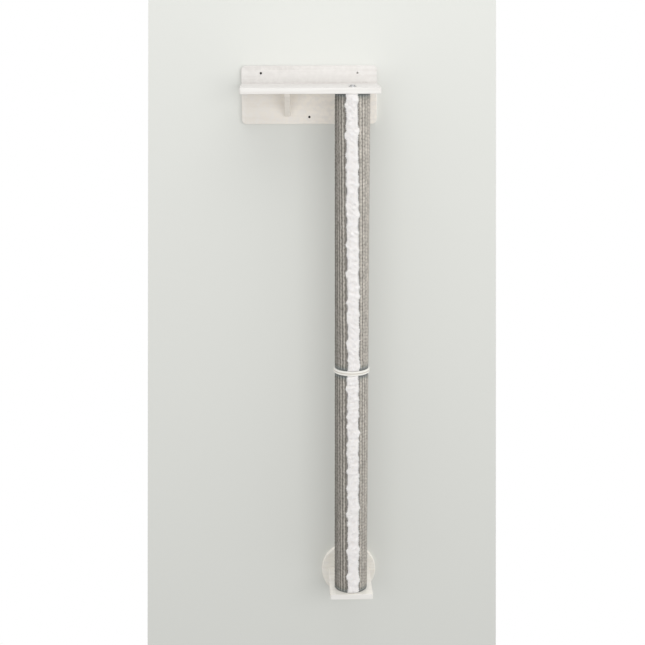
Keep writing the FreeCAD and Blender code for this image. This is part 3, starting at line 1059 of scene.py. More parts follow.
def rib_borders(width, hem, pitch):
    # The borders between hem, ribs and hem across a flat mat.
    ribs = max(1, round((width - 2 * hem) / pitch))
    inner = np.linspace(-width / 2 + hem, width / 2 - hem, ribs + 1)
    return np.concatenate([[-width / 2], inner, [width / 2]])


def between(borders):
    middles = (borders[:-1] + borders[1:]) / 2
    return sorted(list(borders[1:-1]) + list(middles))


def place_in_bands(x, borders):
    # The band in which each point lies, and its share of the way across that band.
    band = np.clip(np.searchsorted(borders, x + SAME_PLACE, side="right") - 1, 0, len(borders) - 2)
    return band, (x - borders[band]) / (borders[band + 1] - borders[band])


def rib_profile(share):
    # The height of a leaning rib across its width: a long rise to the crest, then a short fall.
    lean = math.log(0.5) / math.log(bpy.context.scene.wall_cover.rib_lean)
    return np.sin(math.pi * np.clip(share, 0, 1) ** lean) ** 0.9


# Painted light and shade across a rib and across a hem: the rib's long flank is painted light, the short one
# falls away into a painted-dark valley.
RIB_LIGHT = ((0.0, 0.05, 0.14, 0.40, 0.58, 0.70, 0.84, 1.0), (0.18, 0.60, 0.90, 1.0, 1.0, 0.42, 0.06, 0.0))
HEM_LIGHT = ((0.0, 0.35, 0.65, 1.0), (0.05, 0.20, 0.85, 0.45))


def weave_ribs(mat, borders, thickness, low, high, seed):
    # Raises the ribs and hems of a flat mat, loop by loop, lets the valleys swing and stores the painted
    # light and shade across them.
    sizes = bpy.context.scene.wall_cover
    draws = np.random.RandomState(seed)
    places, x, z, outer = outer_face(mat)
    bands = len(borders) - 1
    band, share = place_in_bands(x, borders)
    is_hem = (band == 0) | (band == bands - 1)
    stitch = np.where(is_hem, sizes.stitch * 0.45, sizes.stitch * draws.uniform(0.94, 1.06, bands)[band])
    loop = (z - low) / stitch + draws.uniform(0, 1, bands)[band]
    number = np.floor(loop).astype(int)
    part = loop - number
    strength = draws.uniform(0.80, 1.0, (bands, number.max() + 2))[band, number]
    swings = draws.uniform(0.02, 0.28, (bands, number.max() + 2))[band, number]
    lean = np.where(number % 2 == 0, 1.0, -1.0) * (part - 0.5) * swings * np.sin(math.pi * share)
    lean = np.where(is_hem, (part - 0.5) * 0.5 * np.sin(math.pi * share), lean)
    across = np.clip(share + lean, 0, 1)
    crest = np.where(is_hem, np.sin(math.pi * across) ** 0.75, rib_profile(across))
    swell = np.sin(math.pi * part) ** 0.6
    relief = crest * (0.66 + 0.34 * swell) * strength
    from_slot = np.where(band == 0, share, 1 - share)
    light = np.where(is_hem, np.interp(from_slot, *HEM_LIGHT), np.interp(across, *RIB_LIGHT))
    light = light * (0.64 + 0.36 * swell * strength) + 0.16 * (1 - light) * swell
    from_end = np.minimum(z - low, high - z)
    flattened, darkened = 0.003, 0.012
    relief = relief * (0.55 + 0.45 * np.clip(from_end / flattened, 0, 1))
    rise = np.where(is_hem, sizes.hem_rise, 0.0)
    depth = sizes.rib_depth
    places[:, Y] = np.where(outer, -thickness / 2 + depth - relief * (depth + rise), places[:, Y])
    sway = np.zeros((len(borders), len(x)))
    for index in range(1, len(borders) - 1):
        teeth = np.abs(((z - low) / (2 * sizes.stitch) + draws.uniform()) % 1.0 - 0.5) * 4 - 1
        sway[index] = sizes.zigzag * (0.6 * teeth + 0.7 * wander(z, (0.083, 0.151, 0.29), draws))
    every = np.arange(len(x))
    swing = (1 - share) * sway[band, every] + share * sway[band + 1, every]
    places[:, X] = np.where(outer, x + swing, x)
    move_points(mat, places)
    point_values(mat, "weave", np.stack([band + share, z, light], axis=1), "FLOAT_VECTOR")
    point_values(mat, "end", np.clip(1 - from_end / darkened, 0, 1))


def wrap_threads(mat, borders, thickness, cut, inner, seed):
    # Flattened rib ends under slanting overlock threads, with a round cord along the cut edge and painted
    # light and shade over the threads.
    sizes = bpy.context.scene.wall_cover
    draws = np.random.RandomState(seed)
    places, x, z, outer = outer_face(mat)
    share = place_in_bands(x, borders)[1]
    from_cut = np.abs(z - cut)
    slant, sway = 0.15, 0.0003
    thread = (x + slant * z + sway * wander(x, (0.021, 0.047), draws)) / sizes.binding_thread
    twist = np.abs(np.sin(math.pi * thread)) ** 0.8
    fade = np.clip((from_cut - sizes.binding_cord) / (abs(inner - cut) - sizes.binding_cord), 0, 1)
    surface = (0.55 + 0.45 * rib_profile(share)) * (0.82 + 0.18 * twist)
    turn = np.clip(from_cut / sizes.binding_cord, 0, 1) * 2 - 1
    in_cord = from_cut < sizes.binding_cord - SAME_PLACE
    cord_round, thread_round, valley, cord_edge = 0.0011, 0.0003, 0.0019, 0.0012
    cord = cord_round * (1 - np.sqrt(1 - turn ** 2)) + thread_round * (1 - twist)
    sunk = np.where(in_cord, cord, valley * (1 - surface))
    places[:, Y] = np.where(outer, -thickness / 2 + sunk, places[:, Y])
    move_points(mat, places)
    light = np.interp(share, *RIB_LIGHT) * (0.45 + 0.55 * fade) * (0.75 + 0.25 * twist)
    point_values(mat, "weave", np.stack([thread, z, light], axis=1), "FLOAT_VECTOR")
    point_values(mat, "rim", np.clip((sizes.binding_cord - from_cut) / cord_edge + 0.5, 0, 1))


def fleece_lumps(place_a, place_b, size, draws):
    # Soft lumps over a surface: crossed sine waves of several sizes and directions.
    total = np.zeros_like(place_a)
    weight = 0.0
    for scale, share in ((2.3, 1.0), (1.25, 0.8), (0.7, 0.55)):
        for _ in range(4):
            turn = draws.uniform(0, math.pi)
            wave = (place_a * math.cos(turn) + place_b * math.sin(turn)) * math.tau / (size * scale)
            total = total + share * np.sin(wave + draws.uniform(0, math.tau))
            weight += share * 0.5
    return np.clip(total / weight, -1, 1)


def lay_fleece(mat, width, thickness, low, high, seed):
    # The crowned, lumpy body of a plush strip, with edges that wave in and out.
    sizes = bpy.context.scene.wall_plush
    draws = np.random.RandomState(seed)
    places, x, z, outer = outer_face(mat)
    share = np.clip(np.abs(x) / (width / 2), 0, 1)
    flatness, lump_size, end_slope = 4.5, 0.011, 0.004
    edge_height = sizes.shoulder * 0.72
    crown = edge_height + (sizes.crown - edge_height) * (1 - share ** flatness) ** 0.5
    lumps = fleece_lumps(x, z, lump_size, draws) * sizes.lump * (1 - share ** 4)
    lumps = lumps - sizes.lump * 0.4
    ends = np.clip(np.minimum(z - low, high - z) / end_slope, 0.15, 1) ** 0.5
    tall = (crown + lumps) * ends
    places[:, Y] = np.where(outer, thickness / 2 - tall, places[:, Y])
    left = np.clip(1.7 * wander(z, (0.031, 0.047, 0.074, 0.113), draws), -1, 1)
    right = np.clip(1.3 * wander(z, (0.029, 0.052, 0.083, 0.127), draws), -1, 1)
    wave = np.where(x < 0, left, right)
    swollen = np.sin(math.pi * np.clip((share - 0.6) / 0.4, 0, 1)) * np.maximum(wave, 0) * sizes.overhang
    drawn_in = np.clip((share - 0.4) / 0.6, 0, 1) * np.minimum(wave, 0) * sizes.notch
    places[:, X] = np.where(outer, x + np.sign(x) * (swollen + drawn_in) * ends, x)
    move_points(mat, places)
    point_values(mat, "tuft", np.clip(0.5 + lumps / sizes.lump * 0.3, 0, 1))
    # Painted shade: the fleece under the pile is greyer, like the tufts' roots.
    point_values(mat, "tip", np.where(outer, 0.35, 0.0))


def new_tuft():
    # One bent, pointed tuft of pile with its root at the origin.
    sizes = bpy.context.scene.wall_plush
    length = sizes.tuft_length
    belly, belly_lean, tip_lean, tip_sink = length * 0.45, length * 0.10, length * 0.42, length * 0.12
    swell = 1.7
    bpy.ops.object.select_all(action="DESELECT")
    bpy.ops.mesh.primitive_cone_add(
        vertices=3, radius1=sizes.tuft_radius, radius2=0, depth=length, location=(0, 0, length / 2))
    tuft = bpy.context.object
    tuft.name = "tuft"
    settle(tuft)
    start_editing(tuft)
    cut_planes([belly], UPWARDS)
    pick(tuft, "VERT", lambda point: abs(point.co.z - belly) < SAME_PLACE)
    bpy.ops.transform.resize(value=(swell, swell, 1), center_override=(0, 0, belly))
    bpy.ops.transform.translate(value=(belly_lean, 0, 0))
    pick(tuft, "VERT", lambda point: point.co.z > length - SAME_PLACE)
    bpy.ops.transform.translate(value=(tip_lean, 0, -tip_sink))
    stop_editing()
    # How far along the tuft each point lies, for the painted shade at its root.
    point_values(tuft, "tip", point_places(tuft)[:, Z] / (length - tip_sink))
    smooth(tuft, 80)
    return tuft


def random_value(tree, kind, inputs):
    outputs = add(tree, "FunctionNodeRandomValue", inputs, data_type=kind).outputs
    return outputs[0] if kind == "FLOAT_VECTOR" else outputs[1]


def scatter_tree(tuft, seed, gap):
    # Geometry nodes that set tufts over the outer side of a strip, each turned and tilted.
    tree = bpy.data.node_groups.new("pile", "GeometryNodeTree")
    tree.interface.new_socket(name="Strip", in_out="INPUT", socket_type="NodeSocketGeometry")
    tree.interface.new_socket(name="Pile", in_out="OUTPUT", socket_type="NodeSocketGeometry")
    given = tree.nodes.new("NodeGroupInput").outputs
    result = tree.nodes.new("NodeGroupOutput").inputs
    named = add(tree, "GeometryNodeInputNamedAttribute", {"Name": "pile"}, data_type="FLOAT")
    outside = add(tree, "FunctionNodeCompare", {0: named.outputs["Attribute"], 1: 0.5},
                  data_type="FLOAT", operation="GREATER_THAN")
    densest = 600000.0
    spots = add(tree, "GeometryNodeDistributePointsOnFaces", {
        "Mesh": given[0], "Selection": outside.outputs[0], "Distance Min": gap,
        "Density Max": densest, "Seed": seed}, distribute_method="POISSON")
    least, most = (0.15, -0.2, 0.0), (1.05, 0.2, math.tau)
    tilt = random_value(tree, "FLOAT_VECTOR", {0: least, 1: most, "Seed": seed + 1})
    turn = add(tree, "FunctionNodeEulerToRotation", {0: tilt}).outputs[0]
    facing = add(tree, "FunctionNodeRotateRotation", {0: spots.outputs["Rotation"], 1: turn},
                 rotation_space="LOCAL").outputs[0]
    size = random_value(tree, "FLOAT", {2: 0.65, 3: 1.1, "Seed": seed + 2})
    model = add(tree, "GeometryNodeObjectInfo", {"Object": tuft, "As Instance": True}).outputs["Geometry"]
    placed = add(tree, "GeometryNodeInstanceOnPoints", {
        "Points": spots.outputs["Points"], "Instance": model, "Rotation": facing, "Scale": size}).outputs[0]
    shade = random_value(tree, "FLOAT", {2: 0.0, 3: 1.0, "Seed": seed + 3})
    marked = add(tree, "GeometryNodeStoreNamedAttribute", {
        "Geometry": placed, "Name": "tuft", "Value": shade}, data_type="FLOAT", domain="INSTANCE").outputs[0]
    tree.links.new(add(tree, "GeometryNodeRealizeInstances", {0: marked}).outputs[0], result[0])
    return tree


def grow_pile(strip, name, tuft, seed):
    # The pile of one plush strip, as a piece of its own.
    sizes = bpy.context.scene.wall_plush
    choose(strip)
    bpy.ops.object.duplicate()
    pile = bpy.context.object
    pile.name = name
    gap = sizes.tuft_gap * 1.0
    tree = scatter_tree(tuft, seed, gap)
    use_modifier(pile, "NODES", node_group=tree)
    bpy.data.node_groups.remove(tree)
    # The tufts are shaded mostly by the fleece's own roundness, which keeps the pile soft.
    use_modifier(pile, "DATA_TRANSFER", object=strip, use_loop_data=True, data_types_loops={"CUSTOM_NORMAL"},
                 loop_mapping="POLYINTERP_NEAREST", mix_factor=0.75)
    return pile


# Operators, one for each piece or group of like pieces

# Sides of the disc and the ring, and of a screw
ROUND_SIDES = 192
SCREW_SIDES = 24

# The room beyond each end of the dowel in its holes, in metres
DOWEL_GAP = 0.00005

# How often a mat's length is cut, and how often each of those pieces is cut again
COVER_ROWS = {"upper": (21, 21), "lower": (20, 19)}
BINDING_ROWS = (9,)
STRIP_ROWS = (16, 17)

# How often a mat's width is cut between two borders
MAT_COLUMNS = 2
BINDING_COLUMNS = 8

# Start values of the upper post's random draws, to which the lower post adds one
COVER_SEED = 11
BINDING_SEED = 31


class MakeBackBoard(bpy.types.Operator):
    """Model the back board with its wall holes and screw holes"""
    bl_idname = "climbing_wall.make_back_board"
    bl_label = "Back board"

    def execute(self, context):
        sizes = context.scene.wall_boards
        low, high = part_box("back_board")
        board = new_block("back_board_painted", low, high)
        round_edges(board, sizes.corner_radius, 8, lambda edge: runs_along(edge, FROM_WALL))
        round_edges(board, sizes.rim_radius, 3, lambda edge: middle(edge).y < low[Y] + SAME_PLACE)
        thickness = high[Y] - low[Y]
        holes = wall_holes()
        for point in holes:
            drill(board, point, FROM_WALL, sizes.wall_hole_radius, thickness, sizes.hole_flare)
        for head in shelf_screw_heads() + bracket_screw_heads():
            screw_hole(board, head)
        # The right hole shows only faintly in the photo, so its inside keeps the paint and only the other two
        # get the painted shade.
        mark_hole_shade(board, (holes[0], holes[2]), sizes.wall_hole_radius + sizes.hole_flare)
        mark_painted_light(board)
        finish_board(board, "back_board", LEFT_TO_RIGHT, UPWARDS)
        return {"FINISHED"}


class MakeShelf(bpy.types.Operator):
    """Model the shelf with its rounded front, bolt hole, dowel hole and screw holes"""
    bl_idname = "climbing_wall.make_shelf"
    bl_label = "Shelf"

    def execute(self, context):
        sizes = context.scene.wall_boards
        low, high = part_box("shelf")
        board = new_block("shelf_painted", low, high)
        round_front(board, sizes.nose_radius, sizes.rim_radius)
        bolt_hole(board, low[Z], high[Z])
        foot = (mid("bracket_dowel", X), high[Y] - sizes.dowel_reach, low[Z] - MM)
        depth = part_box("bracket_dowel")[1][Z] - low[Z] + DOWEL_GAP
        drill(board, foot, UPWARDS, sizes.dowel_hole_radius, depth + MM)
        for head in shelf_screw_heads():
            screw_hole(board, head)
        mark_front(board)
        finish_board(board, "shelf", LEFT_TO_RIGHT, -FROM_WALL)
        return {"FINISHED"}


class MakeBracket(bpy.types.Operator):
    """Model the slanted bracket under the shelf"""
    bl_idname = "climbing_wall.make_bracket"
    bl_label = "Bracket"

    def execute(self, context):
        sizes = context.scene.wall_boards
        low, high = (Vector(corner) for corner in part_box("shelf_bracket"))
        board = new_block("shelf_bracket_painted", low, high)
        nose = Vector((0, low.y, high.z - sizes.bracket_nose))
        tip = Vector((0, high.y - sizes.bracket_tip, low.z))
        slope = (tip - nose).normalized()
        outward = slope.cross(LEFT_TO_RIGHT).normalized()
        if outward.y > 0:
            outward = -outward
        start_editing(board)
        bpy.ops.mesh.select_all(action="SELECT")
        bpy.ops.mesh.bisect(plane_co=nose, plane_no=outward, use_fill=True, clear_outer=True)
        stop_editing()
        round_edges(board, sizes.rim_radius, 3, lambda edge: (
            middle(edge).y < high.y - SAME_PLACE and middle(edge).z < high.z - SAME_PLACE))
        top = (mid("bracket_dowel", X), high.y - sizes.dowel_reach, high.z + MM)
        depth = high.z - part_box("bracket_dowel")[0][Z] + DOWEL_GAP
        drill(board, top, -UPWARDS, sizes.dowel_hole_radius, depth + MM)
        for head in bracket_screw_heads():
            screw_hole(board, head)
        mark_painted_light(board)
        finish_board(board, "shelf_bracket", -UPWARDS, FROM_WALL)
        return {"FINISHED"}


class MakeFoot(bpy.types.Operator):
    """Model the foot board and the round wall disc behind it"""
    bl_idname = "climbing_wall.make_foot"
    bl_label = "Foot board and disc"

    def execute(self, context):
        sizes = context.scene.wall_boards
        low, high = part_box("foot_board")
        board = new_block("foot_board_painted", low, high)
        round_front(board, sizes.nose_radius, sizes.rim_radius)
        bolt_hole(board, low[Z], high[Z])
        for head in foot_screw_heads():
            screw_hole(board, head)
        mark_front(board)
        finish_board(board, "foot_board", LEFT_TO_RIGHT, -FROM_WALL)
        low, high = (Vector(corner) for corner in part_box("wall_disc"))
        centre = Vector((mid("wall_disc", X), high.y, mid("wall_disc", Z)))
        thickness = high.y - low.y
        disc = new_rod("wall_disc_painted", centre, FROM_WALL, (high.x - low.x) / 2, thickness, ROUND_SIDES)
        round_edges(disc, sizes.disc_rim_radius, 5, lambda edge: middle(edge).y < low.y + SAME_PLACE)
        holes = [centre + UPWARDS * (side * sizes.disc_hole_pitch / 2) for side in (-1, 1)]
        for point in holes:
            drill(disc, point, FROM_WALL, sizes.wall_hole_radius, thickness, sizes.hole_flare)
        for head in foot_screw_heads():
            screw_hole(disc, head)
        mark_hole_shade(disc, holes, sizes.wall_hole_radius + sizes.hole_flare)
        finish_board(disc, "wall_disc", LEFT_TO_RIGHT, UPWARDS)
        return {"FINISHED"}


class MakeRing(bpy.types.Operator):
    """Model the grooved ring between the two posts"""
    bl_idname = "climbing_wall.make_ring"
    bl_label = "Ring"

    def execute(self, context):
        sizes = context.scene.wall_boards
        low, high = (Vector(corner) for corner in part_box("joint_ring"))
        centre = Vector((mid("joint_ring", X), mid("joint_ring", Y), low.z))
        thickness = high.z - low.z
        radius = (high.x - low.x) / 2
        ring = new_rod("joint_ring_painted", centre, UPWARDS, radius, thickness, ROUND_SIDES)
        level = low.z + thickness / 2
        round_edges(ring, sizes.ring_rim_radius, 5, lambda edge: (
            abs(middle(edge).z - level) > thickness / 2 - SAME_PLACE))
        start_editing(ring)
        mouth = sizes.ring_groove * 1.7
        bed = mouth * 0.4
        cut_planes([level - mouth, level - bed, level + bed, level + mouth], UPWARDS)
        pick(ring, "VERT", lambda point: abs(point.co.z - level) < bed + SAME_PLACE)
        share = (radius - sizes.ring_groove) / radius
        bpy.ops.transform.resize(value=(share, share, 1), center_override=(centre.x, centre.y, level))
        stop_editing()
        # Marks the groove for the painted shade that darkens it.
        point_values(ring, "groove", np.abs(point_places(ring)[:, Z] - level) < bed + SAME_PLACE)
        drill(ring, centre, UPWARDS, sizes.bolt_hole_radius, thickness, sizes.hole_flare)
        finish_board(ring, "joint_ring", LEFT_TO_RIGHT, -FROM_WALL, "painted_ring")
        return {"FINISHED"}


class MakeScrews(bpy.types.Operator):
    """Model the panel screws with their cross recesses"""
    bl_idname = "climbing_wall.make_screws"
    bl_label = "Panel screws"

    def execute(self, context):
        sizes = context.scene.wall_screws
        start = Vector((0, -sizes.head_depth, 0))
        body = sizes.length - sizes.head_depth
        shank_share, tip_width, recess_floor = 0.88, 0.25, 0.45
        shank = body * shank_share
        screw = new_rod("panel_screw", start, FROM_WALL, sizes.radius, shank, SCREW_SIDES)
        widen_end(screw, start, -FROM_WALL, sizes.head_depth, sizes.head_radius / sizes.radius)
        widen_end(screw, start + FROM_WALL * shank, FROM_WALL, body - shank, tip_width)
        wide, narrow = sizes.head_radius * 0.56, sizes.head_radius * 0.12
        for reach_x, reach_z in ((narrow, wide), (wide, narrow)):
            cutter = new_block("recess", (-reach_x, -sizes.recess, -reach_z), (reach_x, MM, reach_z))
            start_editing(cutter)
            pick(cutter, "FACE", lambda face: looks(face, FROM_WALL))
            bpy.ops.transform.resize(
                value=(recess_floor, 1, recess_floor), center_override=(0, -sizes.recess, 0))
            stop_editing()
            cut_away(screw, cutter)
        smooth(screw, 35)
        copies = []
        for head in shelf_screw_heads() + bracket_screw_heads() + foot_screw_heads():
            choose(screw)
            bpy.ops.object.duplicate()
            copy = bpy.context.object
            copy.location = head
            copies.append(copy)
        bpy.data.objects.remove(screw)
        choose(copies[0])
        for copy in copies:
            copy.select_set(True)
        bpy.ops.object.join()
        screws = bpy.context.object
        screws.name = "panel_screws_plated"
        settle(screws)
        finish_piece(screws, "zinc_steel", "panel_screws")
        return {"FINISHED"}


class MakeCovers(bpy.types.Operator):
    """Model the two woven covers with their ribs and rolled hems"""
    bl_idname = "climbing_wall.make_covers"
    bl_label = "Woven covers"

    def execute(self, context):
        thickness = context.scene.wall_cover.thickness
        angle, width, borders = unroll(thickness)
        for index, post in enumerate(POSTS):
            node = post + "_cover"
            low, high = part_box(node)
            rows = COVER_ROWS[post]
            mat = flat_mat(node + "_woven", width, thickness, low[Z], high[Z],
                           between(borders), rows, MAT_COLUMNS)
            weave_ribs(mat, borders, thickness, low[Z], high[Z], COVER_SEED + index)
            wrap_round_post(mat, post, angle, width, True)
            finish_piece(mat, "woven_cover", node)
        return {"FINISHED"}


class MakeBindings(bpy.types.Operator):
    """Model the dark overlocked ends of the covers"""
    bl_idname = "climbing_wall.make_bindings"
    bl_label = "Cover ends"

    def execute(self, context):
        thickness = context.scene.wall_cover.binding_thickness
        angle, width, borders = unroll(thickness)
        for index, post in enumerate(POSTS):
            node = post + "_end_bindings"
            low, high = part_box(node)
            cover_low, cover_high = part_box(post + "_cover")
            for end, cut, inner in (("bottom", low[Z], cover_low[Z]), ("top", high[Z], cover_high[Z])):
                bottom, top = sorted((cut, inner))
                mat = flat_mat(f"{post}_{end}_binding", width, thickness, bottom, top,
                               between(borders), BINDING_ROWS, BINDING_COLUMNS)
                wrap_threads(mat, borders, thickness, cut, inner, BINDING_SEED + index)
                wrap_round_post(mat, post, angle, width, True)
                finish_piece(mat, "edge_binding", node)
        return {"FINISHED"}


class MakePlush(bpy.types.Operator):
    """Model the two plush strips and their pile"""
    bl_idname = "climbing_wall.make_plush"
    bl_label = "Plush strips"

    def execute(self, context):
        cover = context.scene.wall_cover
        sizes = context.scene.wall_plush
        tuft = new_tuft()
        angle = 2 * (slot_half_angle() - sizes.gap / cover_radius())
        middle_radius = tube_radius() + cover.glue_line + sizes.crown / 2
        width = angle * middle_radius
        backing, near_edge = 0.0012, width * 0.482
        borders = sorted([*np.linspace(-width / 2, width / 2, 9)[1:-1], -near_edge, near_edge])
        for index, post in enumerate(POSTS):
            node = post + "_plush_strip"
            low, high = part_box(node)
            strip = flat_mat(node + "_fleece", width, sizes.crown, low[Z], high[Z],
                             borders, STRIP_ROWS, MAT_COLUMNS)
            lay_fleece(strip, width, sizes.crown, low[Z], high[Z], sizes.seed + index)
            wrap_round_post(strip, post, angle, width, False)
            axis = post_axis()
            places = point_places(strip)
            radii = np.hypot(places[:, X] - axis.x, places[:, Y] - axis.y)
            point_values(strip, "pile", np.where(radii > tube_radius() + cover.glue_line + backing, 1.0, 0.0))
            pile = grow_pile(strip, node + "_pile", tuft, sizes.seed + 10 * index)
            finish_piece(strip, "white_plush", node)
            finish_piece(pile, "white_plush")
        bpy.data.objects.remove(tuft)
        return {"FINISHED"}


class DressFittings(bpy.types.Operator):
    """Give the fittings that keep their CAD form their finishes"""
    bl_idname = "climbing_wall.dress_fittings"
    bl_label = "Fittings and inner parts"

    def execute(self, context):
        finishes = {"post_bolts": "zinc_steel", "bolt_washers": "zinc_steel", "joint_stud": "zinc_steel",
                    "bracket_dowel": "beech"}
        for post in POSTS:
            finishes[post + "_core"] = "tube_cardboard"
            finishes[post + "_end_plugs"] = "plug_wood"
            finishes[post + "_insert_nuts"] = "zinc_steel"
        for node, finish in finishes.items():
            body = frame["nodes"][node]
            if not body.material_slots:
                body.data.materials.append(None)
            for place in body.material_slots:
                place.link = "OBJECT"
                place.material = finish_named(finish)
        return {"FINISHED"}


# Stage

# Two level edges of the wall panel and of the floor: the x of both ends, the y and the z, in metres
FLOOR_LEVEL = -2.10
BEHIND_PART = 0.0005
WALL_EDGES = (((-0.5867, 0.6620), BEHIND_PART, FLOOR_LEVEL), ((-0.4809, 0.5723), BEHIND_PART, 0.80))
FLOOR_EDGES = (((-3.0, 3.0), -4.0, FLOOR_LEVEL), ((-3.0, 3.0), BEHIND_PART, FLOOR_LEVEL))

# The heights between which a painted shade darkens the wall
WALL_SHADE_Z = (0.25, -1.95)

# Each lamp's place, the point it faces, its width and its height
POST_MIDDLE = (0.1, -0.1, -0.85)
LAMPS = {
    "key": ((1.6, -4.6, 0.1), POST_MIDDLE, 2.6, 1.8),
    "fill": ((-1.35, -4.6, -0.4), POST_MIDDLE, 2.6, 1.8),
    "top": ((0.2, -1.2, 2.4), (0.0, -0.1, -0.2), 3.0, 2.0),
    "back": ((0.6, 3.4, 1.0), POST_MIDDLE, 2.5, 2.5),
}

WHITE = (1.0, 1.0, 1.0, 1.0)

# The photo's camera, fitted to the part's outline, in metres, degrees and, for the lens, millimetres
CAMERA_PLACE = (-0.0765, -4.18, 0.251)
CAMERA_TURN, CAMERA_DIP, CAMERA_ROLL = -1.61, 14.37, -0.123
CAMERA_LENS, CAMERA_SENSOR = 72.17, 36.0
CAMERA_NEAR, CAMERA_FAR = 0.05, 50.0


def stage_material(name, high_colour, low_shade_colour, see_through, drilled=()):
    # A pale surface that a painted shade may darken downwards, with painted shadow discs behind any drilled
    # holes, whose back see_through makes clear.
    material, tree, shader = new_finish(name)
    place = object_place(tree)
    # Painted shade: the colour darkens downwards between the two heights.
    fade = spread(tree, split(tree, place)[Z], *WALL_SHADE_Z, 0.0, 1.0)
    colour = blend(tree, fade, high_colour, low_shade_colour)
    pale = blend(tree, 1.0, colour, (1.01, 1.01, 1.01), "MULTIPLY")
    base = blend(tree, cloud(tree, place, 1.3, 2.0, 0.5), colour, pale)
    radius = bpy.context.scene.wall_boards.wall_hole_radius * 1.5
    # Painted shadow discs on the wall behind the board's drilled holes.
    for point in drilled:
        away = add(tree, "ShaderNodeVectorMath", {0: place, 1: point}, operation="DISTANCE").outputs["Value"]
        base = blend(tree, calc(tree, "LESS_THAN", away, radius), base, (0.02, 0.018, 0.015))
    tree.links.new(base, shader["Base Color"])
    shader["Roughness"].default_value = 0.95
    shader["Specular IOR Level"].default_value = 0.1
    if see_through:
        clear = tree.nodes.new("ShaderNodeBsdfTransparent")
        behind = add(tree, "ShaderNodeNewGeometry").outputs["Backfacing"]
        output = next(node for node in tree.nodes if node.type == "OUTPUT_MATERIAL")
        solid = output.inputs["Surface"].links[0].from_socket
        sides = add(tree, "ShaderNodeMixShader", {0: behind, 1: solid, 2: clear.outputs[0]})
        tree.links.new(sides.outputs[0], output.inputs["Surface"])
    return material


def stage_plane(name, edges, material):
    # A flat stage surface between two level edges, made from a plane moved corner by corner.
    bpy.ops.object.select_all(action="DESELECT")
    bpy.ops.mesh.primitive_plane_add(size=2)
    plane = bpy.context.object
    plane.name = name
    start_editing(plane)
    for end, (sides, y, z) in zip((-1, 1), edges):
        for side, x in zip((-1, 1), sides):
            start = Vector((side, end, 0))
            pick(plane, "VERT", lambda point: (point.co - start).length < SAME_PLACE)
            bpy.ops.transform.translate(value=Vector((x, y, z)) - start)
    stop_editing()
    plane.data.materials.append(material)
    plane.visible_diffuse = False
    plane.visible_shadow = False


def soft_lamp(name, location, target, width, height, power):
    # A white rectangular lamp that faces its target.
    bpy.ops.object.select_all(action="DESELECT")
    bpy.ops.object.light_add(type="AREA", location=location)
    lamp = bpy.context.object
    lamp.name = name
    lamp.data.shape = "RECTANGLE"
    lamp.data.size = width
    lamp.data.size_y = height
    lamp.data.energy = power
    lamp.rotation_euler = (Vector(target) - lamp.location).to_track_quat("-Z", "Y").to_euler()


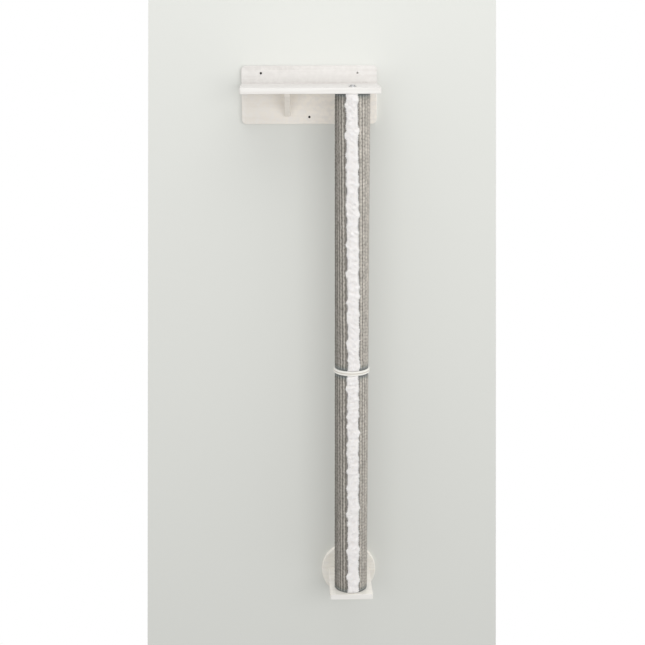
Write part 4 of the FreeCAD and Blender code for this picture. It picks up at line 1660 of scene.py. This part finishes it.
class SetStage(bpy.types.Operator):
    """Set the wall panel, floor, soft studio light and camera"""
    bl_idname = "climbing_wall.set_stage"
    bl_label = "Stage, light and camera"

    def execute(self, context):
        settings = context.scene.wall_stage
        left_hole, _, low_hole = wall_holes()
        wall = stage_material("pale_wall", settings.wall, settings.wall_low_shade, True, (left_hole, low_hole))
        stage_plane("wall_panel", WALL_EDGES, wall)
        floor = stage_material("pale_floor", settings.floor, settings.floor, False)
        stage_plane("studio_floor", FLOOR_EDGES, floor)
        for name, layout in LAMPS.items():
            soft_lamp(name + "_lamp", *layout, getattr(settings, name))
        self.light_world(context.scene, settings)
        self.place_camera(context.scene)
        context.scene.view_settings.view_transform = "Standard"
        return {"FINISHED"}

    def light_world(self, scene, settings):
        # Soft light, stronger from the sides and above, in a studio that is itself seen as white.
        world = bpy.data.worlds.new("studio")
        scene.world = world
        world.use_nodes = True
        tree = world.node_tree
        tree.nodes.clear()
        x, _, z = split(tree, add(tree, "ShaderNodeTexCoord").outputs["Generated"])
        level = settings.ambient
        for side, half, strength in (
                (x, "MINIMUM", settings.side_left), (x, "MAXIMUM", settings.side_right),
                (z, "MAXIMUM", settings.above)):
            share = calc(tree, "POWER", calc(tree, half, side, 0.0), 2.0)
            level = calc(tree, "MULTIPLY_ADD", share, strength, level)
        light = add(tree, "ShaderNodeBackground", {"Color": WHITE, "Strength": level})
        seen = add(tree, "ShaderNodeBackground", {"Color": WHITE, "Strength": 1.0})
        rays = tree.nodes.new("ShaderNodeLightPath").outputs
        share = calc(tree, "MAXIMUM", rays["Is Camera Ray"], rays["Is Glossy Ray"])
        share = calc(tree, "MAXIMUM", share, rays["Is Transmission Ray"])
        both = add(tree, "ShaderNodeMixShader", {0: share, 1: light.outputs[0], 2: seen.outputs[0]})
        output = tree.nodes.new("ShaderNodeOutputWorld")
        tree.links.new(both.outputs[0], output.inputs["Surface"])

    def place_camera(self, scene):
        bpy.ops.object.select_all(action="DESELECT")
        bpy.ops.object.camera_add()
        camera = bpy.context.object
        camera.name = "photo_camera"
        camera.data.lens = CAMERA_LENS
        camera.data.sensor_width = CAMERA_SENSOR
        camera.data.clip_start = CAMERA_NEAR
        camera.data.clip_end = CAMERA_FAR
        turn = Matrix.Rotation(math.radians(CAMERA_TURN), 4, "Z")
        tip = Matrix.Rotation(math.radians(90 - CAMERA_DIP), 4, "X")
        roll = Matrix.Rotation(math.radians(CAMERA_ROLL), 4, "Z")
        camera.matrix_world = Matrix.Translation(CAMERA_PLACE) @ turn @ tip @ roll
        scene.camera = camera


class ClimbingWallPanel(bpy.types.Panel):
    """Lists the steps and the sizes of the cat climbing wall"""
    bl_idname = "VIEW3D_PT_climbing_wall"
    bl_label = "Cat climbing wall"
    bl_space_type = "VIEW_3D"
    bl_region_type = "UI"
    bl_category = "Climbing wall"

    def draw(self, context):
        layout = self.layout
        for step in STEPS:
            layout.operator(step.bl_idname)
        for name, kind in SETTINGS.items():
            box = layout.box()
            for label in kind.__annotations__:
                box.prop(getattr(context.scene, name), label)


SETTINGS = {
    "wall_boards": BoardSizes, "wall_screws": ScrewSizes, "wall_cover": CoverSizes,
    "wall_plush": PlushSizes, "wall_colours": FinishColours, "wall_stage": StageSettings,
}
STEPS = (
    SetStage, MakeBackBoard, MakeShelf, MakeBracket, MakeFoot, MakeRing, MakeScrews,
    MakeBindings, MakeCovers, MakePlush, DressFittings,
)


def register():
    for kind in (*SETTINGS.values(), *STEPS, ClimbingWallPanel):
        bpy.utils.register_class(kind)
    for name, kind in SETTINGS.items():
        setattr(bpy.types.Scene, name, PointerProperty(type=kind))


def unregister():
    for name in SETTINGS:
        delattr(bpy.types.Scene, name)
    for kind in (ClimbingWallPanel, *reversed(STEPS), *SETTINGS.values()):
        bpy.utils.unregister_class(kind)


def main():
    register()
    for step in STEPS:
        getattr(bpy.ops.climbing_wall, step.bl_idname.split(".")[1])()


if __name__ == "__main__":
    main()
